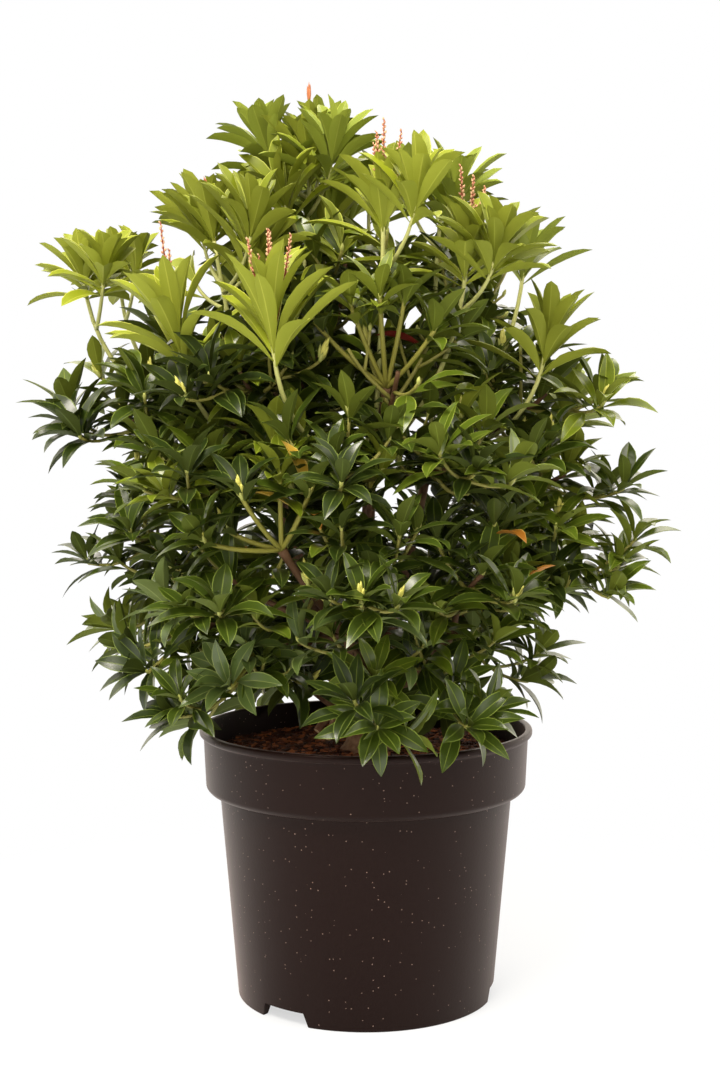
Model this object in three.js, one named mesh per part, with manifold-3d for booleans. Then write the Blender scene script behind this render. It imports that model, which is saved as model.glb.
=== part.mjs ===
// A young Japanese andromeda, an evergreen flowering shrub, in a round plastic nursery pot.
// Millimetres, +Z up. The origin is the middle of the pot's underside, and the plant's front faces -Y.
// A heading is an angle round the pot in degrees: 0 is the front, 90 the right (+X), 180 the back.
//
// The shrub grows by one rule. A short trunk forks into boughs. Each bough's tip carries the stems of
// several masses of foliage, and each stem ends in a fork of twigs with a whorl of leaves on each.
// Young shoots stand above the older foliage on long bare stems, some with racemes of flower buds.
import * as THREE from "three";
import { mergeVertices } from "three/addons/utils/BufferGeometryUtils.js";
import Module from "manifold-3d";

const wasm = await Module();
wasm.setup();

// Driving dimensions.
const GAP = 0.3; // between neighbouring solids
const MERGE = 1e-4; // points nearer than this are one
const SEED = 20266;
const MIX = [0x9e3779b1, 0x85ebca6b]; // odd numbers that scatter a key's bits
const UP = new THREE.Vector3(0, 0, 1);
const GOLDEN_TURN = 137.5; // degrees from one leaf to the next

const POT = {
  height: 226,
  rimRadius: 140,
  rimDepth: 7, // height of the rolled lip
  rimRound: 2, // its softened edges
  collarRadius: 136.5,
  collarFootRadius: 134.5,
  collarHeight: 52,
  shoulderRadius: 123, // of the body, just under the collar
  footRadius: 108,
  wall: 2.4,
  footHeight: 12, // from the ground to the raised floor
  footWidth: 6, // of the ring that the pot stands on
  floor: 3,
  padRadius: 40, // flat pad in the middle of the underside
  draft: 2, // taper of the pad's and the foot's inner walls
  facets: 36,
};
const NOTCH = { count: 3, heading: -38, width: 40, flare: 4, depth: 26 };
const DRAIN = { count: 6, ring: 74, radius: 6, sides: 6 };
const SOIL = { level: 206, edgeLevel: 203, flatRadius: 34 };

const TRUNK = {
  radius: 12,
  flareRadius: 24,
  flareHeight: 18,
  flareFall: 2.2, // how fast the flare dies away over its height
  height: 52,
  lean: 4,
  buried: 8,
  rings: 6,
  sides: 9,
};
const BOUGH = {
  footRadius: 6.4,
  tipRadius: 3.4,
  knotRadius: 4.8,
  knotLength: 10,
  knotEnd: 0.8, // of the knot's radius
  footDrop: 10, // from the trunk's top to a bough's foot
  reachDrop: 0.18, // and this share of its reach further down
  bowAt: 0.45, // of the way to its tip
  bowOut: 0.16, // of its reach
  bowDown: 6,
  rings: 4,
  sides: 5,
};
const STEM = { footRadius: 2.9, tipRadius: 2.3, rings: 3, sides: 3 };
const TWIG = {
  footRadius: 2.2,
  tipRadius: 1.8,
  rings: 2,
  sides: 3,
  spacing: 7, // along the stem
  firstTurn: 30,
  bow: 0.6, // of its length, before it turns up
  tip: 0.45, // of its length, after that
  sway: { open: 8, turn: 16, length: 0.14 },
};

// Each bough's tip: its heading, its reach from the pot's axis and its height above the ground.
const BOUGHS = {
  bough_front: { heading: -10, reach: 88, height: 318 },
  bough_front_right: { heading: 50, reach: 96, height: 318 },
  bough_right: { heading: 104, reach: 96, height: 326 },
  bough_back: { heading: 163, reach: 92, height: 320 },
  bough_back_left: { heading: -142, reach: 96, height: 326 },
  bough_left: { heading: -82, reach: 100, height: 322 },
  bough_upright_front: { heading: 5, reach: 58, height: 452 },
  bough_upright_right: { heading: 96, reach: 56, height: 462 },
  bough_upright_back: { heading: 178, reach: 54, height: 456 },
  bough_upright_left: { heading: -84, reach: 84, height: 470 },
};

// The masses of older foliage, in tiers from the pot's rim upwards. A mass is placed by its fork,
// where its twigs start. In a tier, rise is how far the masses point above the horizon, and lift is
// how far their whorls turn upwards.
const TIERS = {
  skirt: {
    rise: 14,
    lift: 0.4,
    masses: {
      foliage_skirt_1: { heading: 3, reach: 108, height: 277 },
      foliage_skirt_2: { heading: 34, reach: 94, height: 268 },
      foliage_skirt_3: { heading: 92, reach: 80, height: 286 },
      foliage_skirt_4: { heading: 162, reach: 100, height: 268 },
      foliage_skirt_5: { heading: -141, reach: 108, height: 264 },
      foliage_skirt_6: { heading: -92, reach: 150, height: 332 },
      foliage_skirt_7: { heading: -54, reach: 115, height: 268 },
    },
  },
  waist: {
    rise: 30,
    lift: 0.45,
    masses: {
      foliage_waist_1: { heading: 1, reach: 166, height: 351 },
      foliage_waist_2: { heading: 33, reach: 138, height: 351 },
      foliage_waist_3: { heading: 86, reach: 147, height: 362 },
      foliage_waist_4: { heading: 140, reach: 162, height: 368 },
      foliage_waist_5: { heading: -158, reach: 158, height: 374 },
      foliage_waist_6: { heading: -94, reach: 176, height: 374 },
      foliage_waist_7: { heading: -34, reach: 157, height: 348 },
    },
  },
  shoulder: {
    rise: 36,
    lift: 0.45,
    masses: {
      foliage_shoulder_1: { heading: -7, reach: 169, height: 433 },
      foliage_shoulder_2: { heading: 24, reach: 147, height: 438 },
      foliage_shoulder_3: { heading: 82, reach: 143, height: 422 },
      foliage_shoulder_4: { heading: 142, reach: 172, height: 470 },
      foliage_shoulder_5: { heading: -140, reach: 175, height: 470 },
      foliage_shoulder_6: { heading: -85, reach: 178, height: 471 },
      foliage_shoulder_7: { heading: -40, reach: 159, height: 425 },
    },
  },
  neck: {
    rise: 48,
    lift: 0.45,
    masses: {
      foliage_neck_1: { heading: -39, reach: 135, height: 498 },
      foliage_neck_2: { heading: 10, reach: 118, height: 497 },
      foliage_neck_3: { heading: 81, reach: 131, height: 484 },
      foliage_neck_4: { heading: 146, reach: 111, height: 535 },
      foliage_neck_5: { heading: -150, reach: 115, height: 535 },
      foliage_neck_6: { heading: -90, reach: 162, height: 502 },
    },
  },
  crest: {
    rise: 62,
    lift: 0.5,
    masses: {
      foliage_crest_1: { heading: -30, reach: 21, height: 586 },
      foliage_crest_2: { heading: 105, reach: 65, height: 568 },
      foliage_crest_3: { heading: -123, reach: 79, height: 589 },
    },
  },
};

// Young shoots that stand clear of the tiers: where each one's highest whorl is, how far it leans
// outwards, its racemes of flower buds, its leaves' size and the side twigs with a whorl each.
const SHOOTS = {
  shoot_front: { heading: -22, reach: 184, height: 543, lean: 6, racemes: 4, size: 1.2, twigs: 0 },
  shoot_front_left: { heading: -49, reach: 188, height: 539, lean: 12, racemes: 2, size: 1.2, twigs: 0 },
  shoot_left: { heading: -86, reach: 232, height: 597, lean: 6, racemes: 0, size: 0.75, twigs: 1 },
  shoot_left_back: { heading: -107, reach: 224, height: 610, lean: 2, racemes: 0, size: 0.75, twigs: 1 },
  shoot_upper_left: { heading: -57, reach: 142, height: 622, lean: 10, racemes: 1, size: 0.95, twigs: 2 },
  shoot_upper_back: { heading: -114, reach: 118, height: 650, lean: 4, racemes: 0, size: 0.85, twigs: 1 },
  shoot_upper_front: { heading: 6, reach: 121, height: 632, lean: 4, racemes: 3, size: 0.95, twigs: 1 },
  shoot_upper_right: { heading: 35, reach: 134, height: 603, lean: 8, racemes: 3, size: 0.9, twigs: 1 },
  shoot_right: { heading: 85, reach: 130, height: 604, lean: 6, racemes: 0, size: 0.9, twigs: 0 },
  shoot_right_front: { heading: 62, reach: 160, height: 536, lean: 10, racemes: 0, size: 1, twigs: 0 },
  shoot_right_low: { heading: 93, reach: 167, height: 490, lean: 8, racemes: 0, size: 0.8, twigs: 0 },
  shoot_top: { heading: -86, reach: 47, height: 692, lean: 0, racemes: 1, size: 0.9, twigs: 3 },
  shoot_top_right: { heading: 84, reach: 62, height: 658, lean: 4, racemes: 0, size: 0.9, twigs: 2 },
  shoot_top_back: { heading: 178, reach: 80, height: 664, lean: 6, racemes: 0, size: 0.9, twigs: 2 },
  shoot_back_right: { heading: 138, reach: 150, height: 590, lean: 14, racemes: 2, size: 1, twigs: 1 },
  shoot_back: { heading: 176, reach: 186, height: 566, lean: 12, racemes: 3, size: 1.1, twigs: 1 },
  shoot_back_left: { heading: -150, reach: 166, height: 584, lean: 14, racemes: 0, size: 1, twigs: 1 },
};

// A whorl's leaves, from the lowest and widest open to the innermost. bend is a leaf's whole curve.
const WHORL = {
  lowestRoot: 0.6, // of the bud's length below its end
  innermostRoot: 1, // millimetres below its end
  sway: { open: 7, turn: 10, length: 0.12, bend: 0.3 },
};
const OLD_WHORL = { leaves: 5, length: 66, width: 34, lowest: 90, innermost: 36, bend: 40 };
const YOUNG_WHORL = { leaves: 7, length: 76, width: 29, lowest: 58, innermost: 20, bend: 14 };
const LEAF = { widest: 0.6, depth: 2.2, rootIn: 1 };
const LEAF_SHARES = [1, 0.88, 0.76, 0.64]; // of its length, the longest that has room
const BUD = { radius: 5.4, length: 7, room: 8 }; // the thick end of a twig, in the middle of a whorl

// A mass's side twigs, and how far its stem goes on past them. straight is the length of stem before
// the fork that already points the mass's way.
const OLD_FORK = { open: 62, length: 56, ahead: 28, straight: 14 };
const YOUNG_FORK = { open: 62, length: 58, ahead: 34, lift: 0.7, below: 90, bowShare: 0.55 };

// The dense middle of a mass, where its inner leaves stand too close to tell apart.
const CORE = { radius: 44, flatness: 0.9, back: 14 };
const RACEME = { length: 56, radius: 3.4, spread: 16, rootIn: 3 };

// The space that a mass keeps to, round a middle that lies some share of a twig or leaf ahead.
const OLD_SPACE = { radius: 70, ahead: 0.7 };
const YOUNG_SPACE = { radius: 74, ahead: 0.4 };
const CLEARANCE = 0.5; // from a leaf or twig to a limb that isn't its own

// What each seeded draw is for, and the first key of the tiers and of the young shoots.
const DRAW = {
  twigOpen: 3,
  twigTurn: 4,
  twigLength: 5,
  leafOpen: 6,
  leafTurn: 7,
  whorlTurn: 8,
  leafLength: 9,
  leafBend: 10,
  coreTurn: 11,
};
const FIRST_KEY = { tier: 10, shoot: 40 };

const COLOURS = {
  pot: { color: 0x2f2320, roughness: 0.42, metalness: 0 },
  soil: { color: 0x3a2018, roughness: 0.95, metalness: 0 },
  bark: { color: 0x6b4632, roughness: 0.85, metalness: 0 },
  oldFoliage: { color: 0x33501f, roughness: 0.4, metalness: 0 },
  youngFoliage: { color: 0x88962a, roughness: 0.5, metalness: 0 },
};

const radians = THREE.MathUtils.degToRad;
const { lerp } = THREE.MathUtils;

// A number from 0 to 1 that depends only on its whole-number keys.
function chance(...keys) {
  let h = SEED;
  for (const key of keys) {
    h = Math.imul(h ^ (key + 1), MIX[0]);
    h ^= h >>> 15;
    h = Math.imul(h, MIX[1]);
    h ^= h >>> 13;
  }
  return (h >>> 0) / 2 ** 32;
}

// The same, from -1 to 1.
const sway = (...keys) => 2 * chance(...keys) - 1;

const outward = (heading) =>
  new THREE.Vector3(Math.sin(radians(heading)), -Math.cos(radians(heading)), 0);

const placeAt = ({ heading, reach, height }) => outward(heading).multiplyScalar(reach).setZ(height);

// The direction that rises by some degrees from a level one.
const risen = (level, rise) =>
  level.clone().multiplyScalar(Math.cos(radians(rise))).addScaledVector(UP, Math.sin(radians(rise)));

// A unit vector between two directions, share of the way from a to b.
const between = (a, b, share) =>
  a.clone().multiplyScalar(1 - share).addScaledVector(b, share).normalize();

// Two unit vectors that are square to a direction and to each other.
function acrossOf(direction) {
  const helper = Math.abs(direction.z) < 0.9 ? UP : new THREE.Vector3(1, 0, 0);
  const side = new THREE.Vector3().crossVectors(helper, direction).normalize();
  return [side, new THREE.Vector3().crossVectors(direction, side)];
}

// The direction that opens by some degrees from an axis, at some turn round it.
function opened(axis, open, turn) {
  const [a, b] = acrossOf(axis);
  return axis
    .clone()
    .multiplyScalar(Math.cos(radians(open)))
    .addScaledVector(a, Math.sin(radians(open)) * Math.cos(radians(turn)))
    .addScaledVector(b, Math.sin(radians(open)) * Math.sin(radians(turn)));
}

function geometryOf(points, faces) {
  const geometry = new THREE.BufferGeometry().setFromPoints(points);
  geometry.setIndex(faces.flat());
  return geometry;
}

function solidOf(geometry) {
  geometry.deleteAttribute("normal");
  geometry.deleteAttribute("uv");
  const merged = mergeVertices(geometry, MERGE);
  const mesh = new wasm.Mesh({
    numProp: 3,
    vertProperties: merged.attributes.position.array,
    triVerts: new Uint32Array(merged.index.array),
  });
  return new wasm.Manifold(mesh);
}

function meshOf(name, solid, look) {
  const { vertProperties, triVerts } = solid.getMesh();
  const geometry = new THREE.BufferGeometry();
  geometry.setAttribute("position", new THREE.BufferAttribute(vertProperties, 3));
  geometry.setIndex(new THREE.BufferAttribute(triVerts, 1));
  geometry.computeVertexNormals();
  const mesh = new THREE.Mesh(geometry, new THREE.MeshStandardMaterial(look));
  mesh.name = name;
  return mesh;
}

// The largest of a solid's separate bodies, which drops loose scraps.
const wholeOf = (solid) => solid.decompose().sort((a, b) => b.volume() - a.volume())[0];

const unionOf = (solids) => solids.reduce((joined, solid) => joined.add(solid));

// A closed tube along a flat curve, through rings of [share of its length, radius]. Where it is
// grown, all its faces lie that much further out.
function tube(curve, rings, sides, grown = 0) {
  const bend = new THREE.Vector3().crossVectors(curve.getTangent(0), curve.getTangent(1));
  const straight = bend.length() < MERGE;
  const side = straight ? acrossOf(curve.getTangent(0))[0] : bend.normalize();
  const points = [];
  const faces = [];
  rings.forEach(([share, radius], i) => {
    const along = curve.getTangentAt(share);
    const other = new THREE.Vector3().crossVectors(along, side);
    const centre = curve.getPointAt(share);
    if (i === 0) centre.addScaledVector(along, -grown);
    if (i === rings.length - 1) centre.addScaledVector(along, grown);
    const full = radius + grown / Math.cos(Math.PI / sides);
    for (let k = 0; k < sides; k++) {
      const turn = (2 * Math.PI * k) / sides;
      const point = centre.clone().addScaledVector(side, full * Math.cos(turn));
      points.push(point.addScaledVector(other, full * Math.sin(turn)));
    }
  });
  for (let i = 0; i < rings.length - 1; i++) {
    for (let k = 0; k < sides; k++) {
      const a = i * sides + k;
      const b = i * sides + ((k + 1) % sides);
      faces.push([a, b, b + sides], [a, b + sides, a + sides]);
    }
  }
  const last = (rings.length - 1) * sides;
  for (let k = 1; k < sides - 1; k++) {
    faces.push([0, k + 1, k], [last, last + k, last + k + 1]);
  }
  return solidOf(geometryOf(points, faces));
}

// Evenly spaced rings for a tube, from its foot to some share of its length.
function ringsOf(count, to, radiusAt) {
  return Array.from({ length: count }, (_, i) => {
    const share = (to * i) / (count - 1);
    return [share, radiusAt(share)];
  });
}

// A body of revolution from its profile of [radius, height] pairs, from the axis back to the axis.
function turned(profile) {
  const points = profile.map(([radius, height]) => new THREE.Vector2(radius, height));
  const lathe = new THREE.LatheGeometry(points, POT.facets);
  lathe.rotateX(Math.PI / 2); // the lathe's own axis is Y
  return solidOf(lathe);
}

// The pot: a tapered body on a low foot, with a wide collar and a rolled lip, open at the top.
function makePot() {
  const collarFoot = POT.height - POT.collarHeight;
  const lipFoot = POT.height - POT.rimDepth;
  const floorTop = POT.footHeight + POT.floor;
  const body = turned([
    [0, 0],
    [POT.padRadius, 0],
    [POT.padRadius + POT.draft, POT.footHeight],
    [POT.footRadius - POT.footWidth - POT.draft, POT.footHeight],
    [POT.footRadius - POT.footWidth, 0],
    [POT.footRadius, 0],
    [POT.shoulderRadius, collarFoot],
    [POT.collarFootRadius, collarFoot],
    [POT.collarRadius, lipFoot],
    [POT.rimRadius, lipFoot + POT.rimRound],
    [POT.rimRadius, POT.height - POT.rimRound],
    [POT.rimRadius - POT.rimRound, POT.height],
    [POT.collarRadius - POT.wall, POT.height - POT.rimRound],
    [POT.collarFootRadius - POT.wall, collarFoot + 1.5 * POT.wall],
    [POT.shoulderRadius - POT.wall, collarFoot + POT.wall],
    [POT.footRadius + POT.floor / 2 - POT.wall, floorTop],
    [0, floorTop],
  ]);
  const top = NOTCH.width / 2;
  const bottom = top + 2 * NOTCH.flare;
  const outline = new THREE.Shape([
    new THREE.Vector2(-bottom, -POT.footHeight),
    new THREE.Vector2(bottom, -POT.footHeight),
    new THREE.Vector2(top, POT.footHeight),
    new THREE.Vector2(-top, POT.footHeight),
  ]);
  const cuts = [];
  for (let i = 0; i < NOTCH.count; i++) {
    const notch = new THREE.ExtrudeGeometry(outline, { depth: NOTCH.depth, bevelEnabled: false });
    notch.rotateX(Math.PI / 2);
    notch.translate(0, NOTCH.depth / 2 - POT.footRadius, 0);
    notch.rotateZ(radians(NOTCH.heading + (360 * i) / NOTCH.count));
    cuts.push(solidOf(notch));
  }
  for (let i = 0; i < DRAIN.count; i++) {
    const drain = new THREE.CylinderGeometry(DRAIN.radius, DRAIN.radius, 4 * POT.floor, DRAIN.sides);
    drain.rotateX(Math.PI / 2);
    drain.translate(0, -DRAIN.ring, POT.footHeight + POT.floor / 2);
    drain.rotateZ(radians((360 * i) / DRAIN.count));
    cuts.push(solidOf(drain));
  }
  return cuts.reduce((pot, cut) => pot.subtract(cut), body);
}

// The bark and peat that fills the pot, flat round the trunk and a little lower at the wall.
function makeSoil() {
  const collarFoot = POT.height - POT.collarHeight;
  const floorTop = POT.footHeight + POT.floor;
  const inset = POT.wall + GAP;
  return turned([
    [0, floorTop + GAP],
    [POT.footRadius + POT.floor / 2 - inset - GAP, floorTop + GAP],
    [POT.shoulderRadius - inset, collarFoot + 1.5 * POT.wall],
    [POT.collarFootRadius - inset, collarFoot + 2 * POT.wall],
    [POT.collarFootRadius - inset, SOIL.edgeLevel],
    [SOIL.flatRadius, SOIL.level],
    [0, SOIL.level],
  ]);
}

// The trunk leans a little as it rises, from its root flare to the knob where the boughs start.
const trunkFoot = new THREE.Vector3(0, 0, SOIL.level + GAP);
const trunkTop = new THREE.Vector3(-TRUNK.lean, TRUNK.lean / 2, SOIL.level + TRUNK.height);

// It is made a little too long downwards and then cut flat at the ground.
function makeTrunk(grown = 0) {
  const buried = trunkFoot.clone().lerp(trunkTop, -TRUNK.buried / TRUNK.height);
  const line = new THREE.LineCurve3(buried, trunkTop);
  const flare = (share) => {
    const above = Math.max(0, share * line.getLength() - TRUNK.buried) / TRUNK.flareHeight;
    return TRUNK.radius + (TRUNK.flareRadius - TRUNK.radius) * Math.exp(-TRUNK.flareFall * above);
  };
  const ground = new THREE.BoxGeometry(4 * TRUNK.flareRadius, 4 * TRUNK.flareRadius, TRUNK.height);
  ground.translate(0, 0, trunkFoot.z - TRUNK.height / 2);
  const rings = ringsOf(TRUNK.rings, 1, flare);
  return tube(line, rings, TRUNK.sides, grown).subtract(solidOf(ground));
}

function boughLine(bough) {
  const tip = placeAt(bough);
  const foot = trunkTop.clone().addScaledVector(UP, -BOUGH.footDrop - BOUGH.reachDrop * bough.reach);
  const bow = foot.clone().lerp(tip, BOUGH.bowAt).addScaledVector(UP, -BOUGH.bowDown);
  bow.addScaledVector(outward(bough.heading), BOUGH.bowOut * bough.reach);
  return new THREE.QuadraticBezierCurve3(foot, bow, tip);
}

// A bough tapers to its tip and ends in the knot that a whorl of stems starts from.
function makeBough(bough, grown = 0) {
  const line = boughLine(bough);
  const knotShare = 1 - BOUGH.knotLength / line.getLength();
  const radiusAt = (share) => lerp(BOUGH.footRadius, BOUGH.tipRadius, share / knotShare);
  const knot = [(1 + knotShare) / 2, BOUGH.knotRadius];
  const end = [1, BOUGH.knotEnd * BOUGH.knotRadius];
  const rings = [...ringsOf(BOUGH.rings, knotShare, radiusAt), knot, end];
  return tube(line, rings, BOUGH.sides, grown);
}

// The bough whose tip is nearest to a point.
function nearestBough(point) {
  const distance = (bough) => placeAt(bough).distanceTo(point);
  return Object.values(BOUGHS).sort((a, b) => distance(a) - distance(b))[0];
}

// The knot's middle, inside the end of a bough, where its stems start.
function knotOf(bough) {
  const line = boughLine(bough);
  return line.getPointAt(1 - BOUGH.knotLength / 2 / line.getLength());
}

// The line of a stem that turns, over its last part, to end along an aim.
function stemLine(start, end, aim, lastPart) {
  const bow = end.clone().addScaledVector(aim, -lastPart);
  return new THREE.QuadraticBezierCurve3(start, bow, end);
}

// Every mass of the tiers: its fork, the way it points and the stem that carries it.
function tierMasses() {
  return Object.values(TIERS).flatMap(({ rise, lift, masses }, t) =>
    Object.entries(masses).map(([name, place], i) => {
      const fork = placeAt(place);
      const aim = risen(outward(place.heading), rise);
      const end = fork.clone().addScaledVector(aim, OLD_FORK.ahead);
      const start = knotOf(nearestBough(fork));
      return {
        name,
        keys: [FIRST_KEY.tier + t, i],
        fork,
        end,
        aim,
        lift,
        racemes: 0,
        twigs: 3,
        side: OLD_FORK,
        dense: true,
        whorl: OLD_WHORL,
        look: COLOURS.oldFoliage,
        stem: stemLine(start, end, aim, OLD_FORK.ahead + OLD_FORK.straight),
        centre: fork.clone().addScaledVector(aim, OLD_SPACE.ahead * OLD_FORK.length),
        radius: OLD_SPACE.radius,
      };
    }),
  );
}

// Every young shoot: one long stem that turns upwards, with a whorl at its end and on each side twig.
function youngShoots() {
  return Object.entries(SHOOTS).map(([name, shoot], i) => {
    const end = placeAt(shoot);
    const aim = risen(outward(shoot.heading), 90 - shoot.lean);
    const start = knotOf(nearestBough(end.clone().addScaledVector(UP, -YOUNG_FORK.below)));
    const length = shoot.size * YOUNG_WHORL.length;
    return {
      name,
      keys: [FIRST_KEY.shoot, i],
      fork: end.clone().addScaledVector(aim, -YOUNG_FORK.ahead),
      end,
      aim,
      lift: YOUNG_FORK.lift,
      racemes: shoot.racemes,
      twigs: shoot.twigs,
      side: YOUNG_FORK,
      dense: false,
      whorl: { ...YOUNG_WHORL, length, width: shoot.size * YOUNG_WHORL.width },
      look: COLOURS.youngFoliage,
      stem: stemLine(start, end, aim, YOUNG_FORK.bowShare * start.distanceTo(end)),
      centre: end.clone().addScaledVector(aim, YOUNG_SPACE.ahead * length),
      radius: YOUNG_SPACE.radius,
    };
  });
}

// A shoot's tube: it tapers from its foot and ends in the bud that its leaves' roots are sunk in.
function makeShoot(line, kind, grown = 0) {
  const neck = 1 - BUD.length / line.getLength();
  const radiusAt = (share) => lerp(kind.footRadius, kind.tipRadius, share / neck);
  return tube(line, [...ringsOf(kind.rings, neck, radiusAt), [1, BUD.radius]], kind.sides, grown);
}

const makeStem = (mass, grown = 0) => makeShoot(mass.stem, STEM, grown);

// The twigs that leave a mass's stem, spaced along its last part, each turned up at its end.
function twigsOf(mass) {
  const twigs = [];
  for (let i = 0; i < mass.twigs; i++) {
    const keys = [...mass.keys, i];
    const open = mass.side.open + TWIG.sway.open * sway(...keys, DRAW.twigOpen);
    const evenTurn = TWIG.firstTurn + (360 * i) / mass.twigs;
    const turn = evenTurn + TWIG.sway.turn * sway(...keys, DRAW.twigTurn);
    const direction = opened(mass.aim, open, turn);
    const length = mass.side.length * (1 + TWIG.sway.length * sway(...keys, DRAW.twigLength));
    const axis = between(direction, UP, mass.lift);
    const foot = mass.fork.clone().addScaledVector(mass.aim, TWIG.spacing * (i - 1));
    const bow = foot.clone().addScaledVector(direction, TWIG.bow * length);
    const tip = bow.clone().addScaledVector(axis, TWIG.tip * length);
    twigs.push({ line: new THREE.QuadraticBezierCurve3(foot, bow, tip), axis, keys });
  }
  return twigs;
}

// One leaf of six faces: keeled along its midrib and bent back along its length.
function makeLeaf(root, direction, upper, length, width, bend) {
  const across = new THREE.Vector3().crossVectors(direction, upper);
  const along = (share) => {
    const angle = bend * share;
    return root
      .clone()
      .addScaledVector(direction, (length * Math.sin(angle)) / bend)
      .addScaledVector(upper, (-length * (1 - Math.cos(angle))) / bend);
  };
  const edge = (side) => along(LEAF.widest).addScaledVector(across, (side * width) / 2);
  const keel = along(LEAF.widest).addScaledVector(upper, -LEAF.depth);
  const faces = [
    [0, 2, 1],
    [1, 2, 4],
    [0, 1, 3],
    [1, 4, 3],
    [0, 3, 2],
    [2, 3, 4],
  ];
  return solidOf(geometryOf([root, edge(-1), edge(1), keel, along(1)], faces));
}

// One of a whorl's leaves, at some share of its length. The lowest, number 0, opens widest.
function leafOf(kind, { tip, axis, keys }, j, share) {
  const level = j / (kind.leaves - 1);
  const evenOpen = lerp(kind.lowest, kind.innermost, level);
  const open = evenOpen + WHORL.sway.open * sway(...keys, j, DRAW.leafOpen);
  const evenTurn = GOLDEN_TURN * j + 360 * chance(...keys, DRAW.whorlTurn);
  const turn = evenTurn + WHORL.sway.turn * sway(...keys, j, DRAW.leafTurn);
  const direction = opened(axis, open, turn);
  const upper = axis.clone().addScaledVector(direction, -axis.dot(direction)).normalize();
  const length = share * kind.length * (1 + WHORL.sway.length * sway(...keys, j, DRAW.leafLength));
  const below = lerp(WHORL.lowestRoot * BUD.length, WHORL.innermostRoot, level);
  const root = tip.clone().addScaledVector(axis, -below);
  root.addScaledVector(direction, -LEAF.rootIn);
  const bend = radians(kind.bend) * (1 + WHORL.sway.bend * sway(...keys, j, DRAW.leafBend));
  return makeLeaf(root, direction, upper, length, share * kind.width, bend);
}

// The racemes of flower buds that stand in the middle of a whorl, each a slim spindle.
function racemesOf(mass) {
  const racemes = [];
  for (let i = 0; i < mass.racemes; i++) {
    const direction = opened(mass.aim, RACEME.spread, (360 * i) / mass.racemes);
    const spindle = new THREE.OctahedronGeometry(RACEME.radius);
    spindle.scale(1, 1, RACEME.length / 2 / RACEME.radius);
    spindle.applyQuaternion(new THREE.Quaternion().setFromUnitVectors(UP, direction));
    const middle = mass.end.clone().addScaledVector(direction, RACEME.length / 2 - RACEME.rootIn);
    spindle.translate(middle.x, middle.y, middle.z);
    racemes.push(solidOf(spindle));
  }
  return racemes;
}

const boxesTouch = (a, b) =>
  [0, 1, 2].every((k) => a.min[k] <= b.max[k] && b.min[k] <= a.max[k]);

// Whether a solid crosses none of the others, each kept with its box.
function crossesNone(solid, others) {
  const box = solid.boundingBox();
  const near = others.filter((other) => boxesTouch(box, other.box));
  return near.every((other) => solid.intersect(other.solid).isEmpty());
}

const boxed = (solid, owner) => ({ solid, box: solid.boundingBox(), owner });

// The plane that parts a mass's own space from another's. The mass's side of it is where a point's
// share along the normal stays under the limit.
function borderTo(mass, other) {
  const normal = other.centre.clone().sub(mass.centre);
  const apart = normal.length();
  const share = (apart ** 2 + mass.radius ** 2 - other.radius ** 2) / (2 * apart);
  normal.divideScalar(apart);
  return { normal, limit: normal.dot(mass.centre) + share - CLEARANCE };
}

// Whether a solid keeps to its mass's own space, on its own side of every border.
function inOwnSpace(solid, borders) {
  const { vertProperties, numVert } = solid.getMesh();
  const point = new THREE.Vector3();
  for (let i = 0; i < numVert; i++) {
    point.fromArray(vertProperties, 3 * i);
    if (borders.some(({ normal, limit }) => point.dot(normal) > limit)) return false;
  }
  return true;
}

// A mass's dense core, round its fork, within its borders and clear of every other limb.
function makeCore(mass, borders, others) {
  const core = new THREE.IcosahedronGeometry(CORE.radius);
  core.rotateX(Math.PI * chance(...mass.keys, DRAW.coreTurn));
  core.scale(1, 1, CORE.flatness);
  const middle = mass.fork.clone().addScaledVector(mass.aim, -CORE.back);
  core.translate(middle.x, middle.y, middle.z);
  let solid = solidOf(core);
  for (const { normal, limit } of borders) {
    solid = solid.trimByPlane(normal.clone().negate().toArray(), -limit);
  }
  const box = solid.boundingBox();
  const near = others.filter((other) => boxesTouch(box, other.box));
  return wholeOf(near.reduce((left, other) => left.subtract(other.solid), solid));
}

// A mass of foliage: its stem, its twigs and their leaves fused into one body.
function makeMass(mass, masses, limbs) {
  const others = limbs.filter((limb) => limb.owner !== mass);
  const borders = masses.filter((other) => other !== mass).map((other) => borderTo(mass, other));
  const fits = (solid) => inOwnSpace(solid, borders) && crossesNone(solid, others);
  const pieces = [makeStem(mass), ...racemesOf(mass).filter(fits)];
  const placed = [];
  if (mass.dense) {
    const core = makeCore(mass, borders, others);
    pieces.push(core);
    placed.push(boxed(core));
  }
  const whorls = [{ tip: mass.end, axis: mass.aim, keys: mass.keys }];
  for (const { line, axis, keys } of twigsOf(mass)) {
    const twig = makeShoot(line, TWIG);
    if (!fits(twig)) continue;
    pieces.push(twig);
    whorls.push({ tip: line.getPoint(1), axis, keys });
  }
  for (const whorl of whorls) {
    const shared = new THREE.OctahedronGeometry(BUD.room);
    shared.translate(whorl.tip.x, whorl.tip.y, whorl.tip.z);
    const room = solidOf(shared);
    for (let j = 0; j < mass.whorl.leaves; j++) {
      for (const share of LEAF_SHARES) {
        const leaf = leafOf(mass.whorl, whorl, j, share);
        const blade = leaf.subtract(room);
        if (!fits(leaf) || !crossesNone(blade, placed)) continue;
        pieces.push(leaf);
        placed.push(boxed(blade));
        break;
      }
    }
  }
  return unionOf(pieces);
}

const group = new THREE.Group();
const pot = makePot();
const soil = makeSoil();
const trunk = makeTrunk();
group.add(meshOf("pot", pot, COLOURS.pot));
group.add(meshOf("soil", soil, COLOURS.soil));
group.add(meshOf("trunk", trunk, COLOURS.bark));

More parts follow.
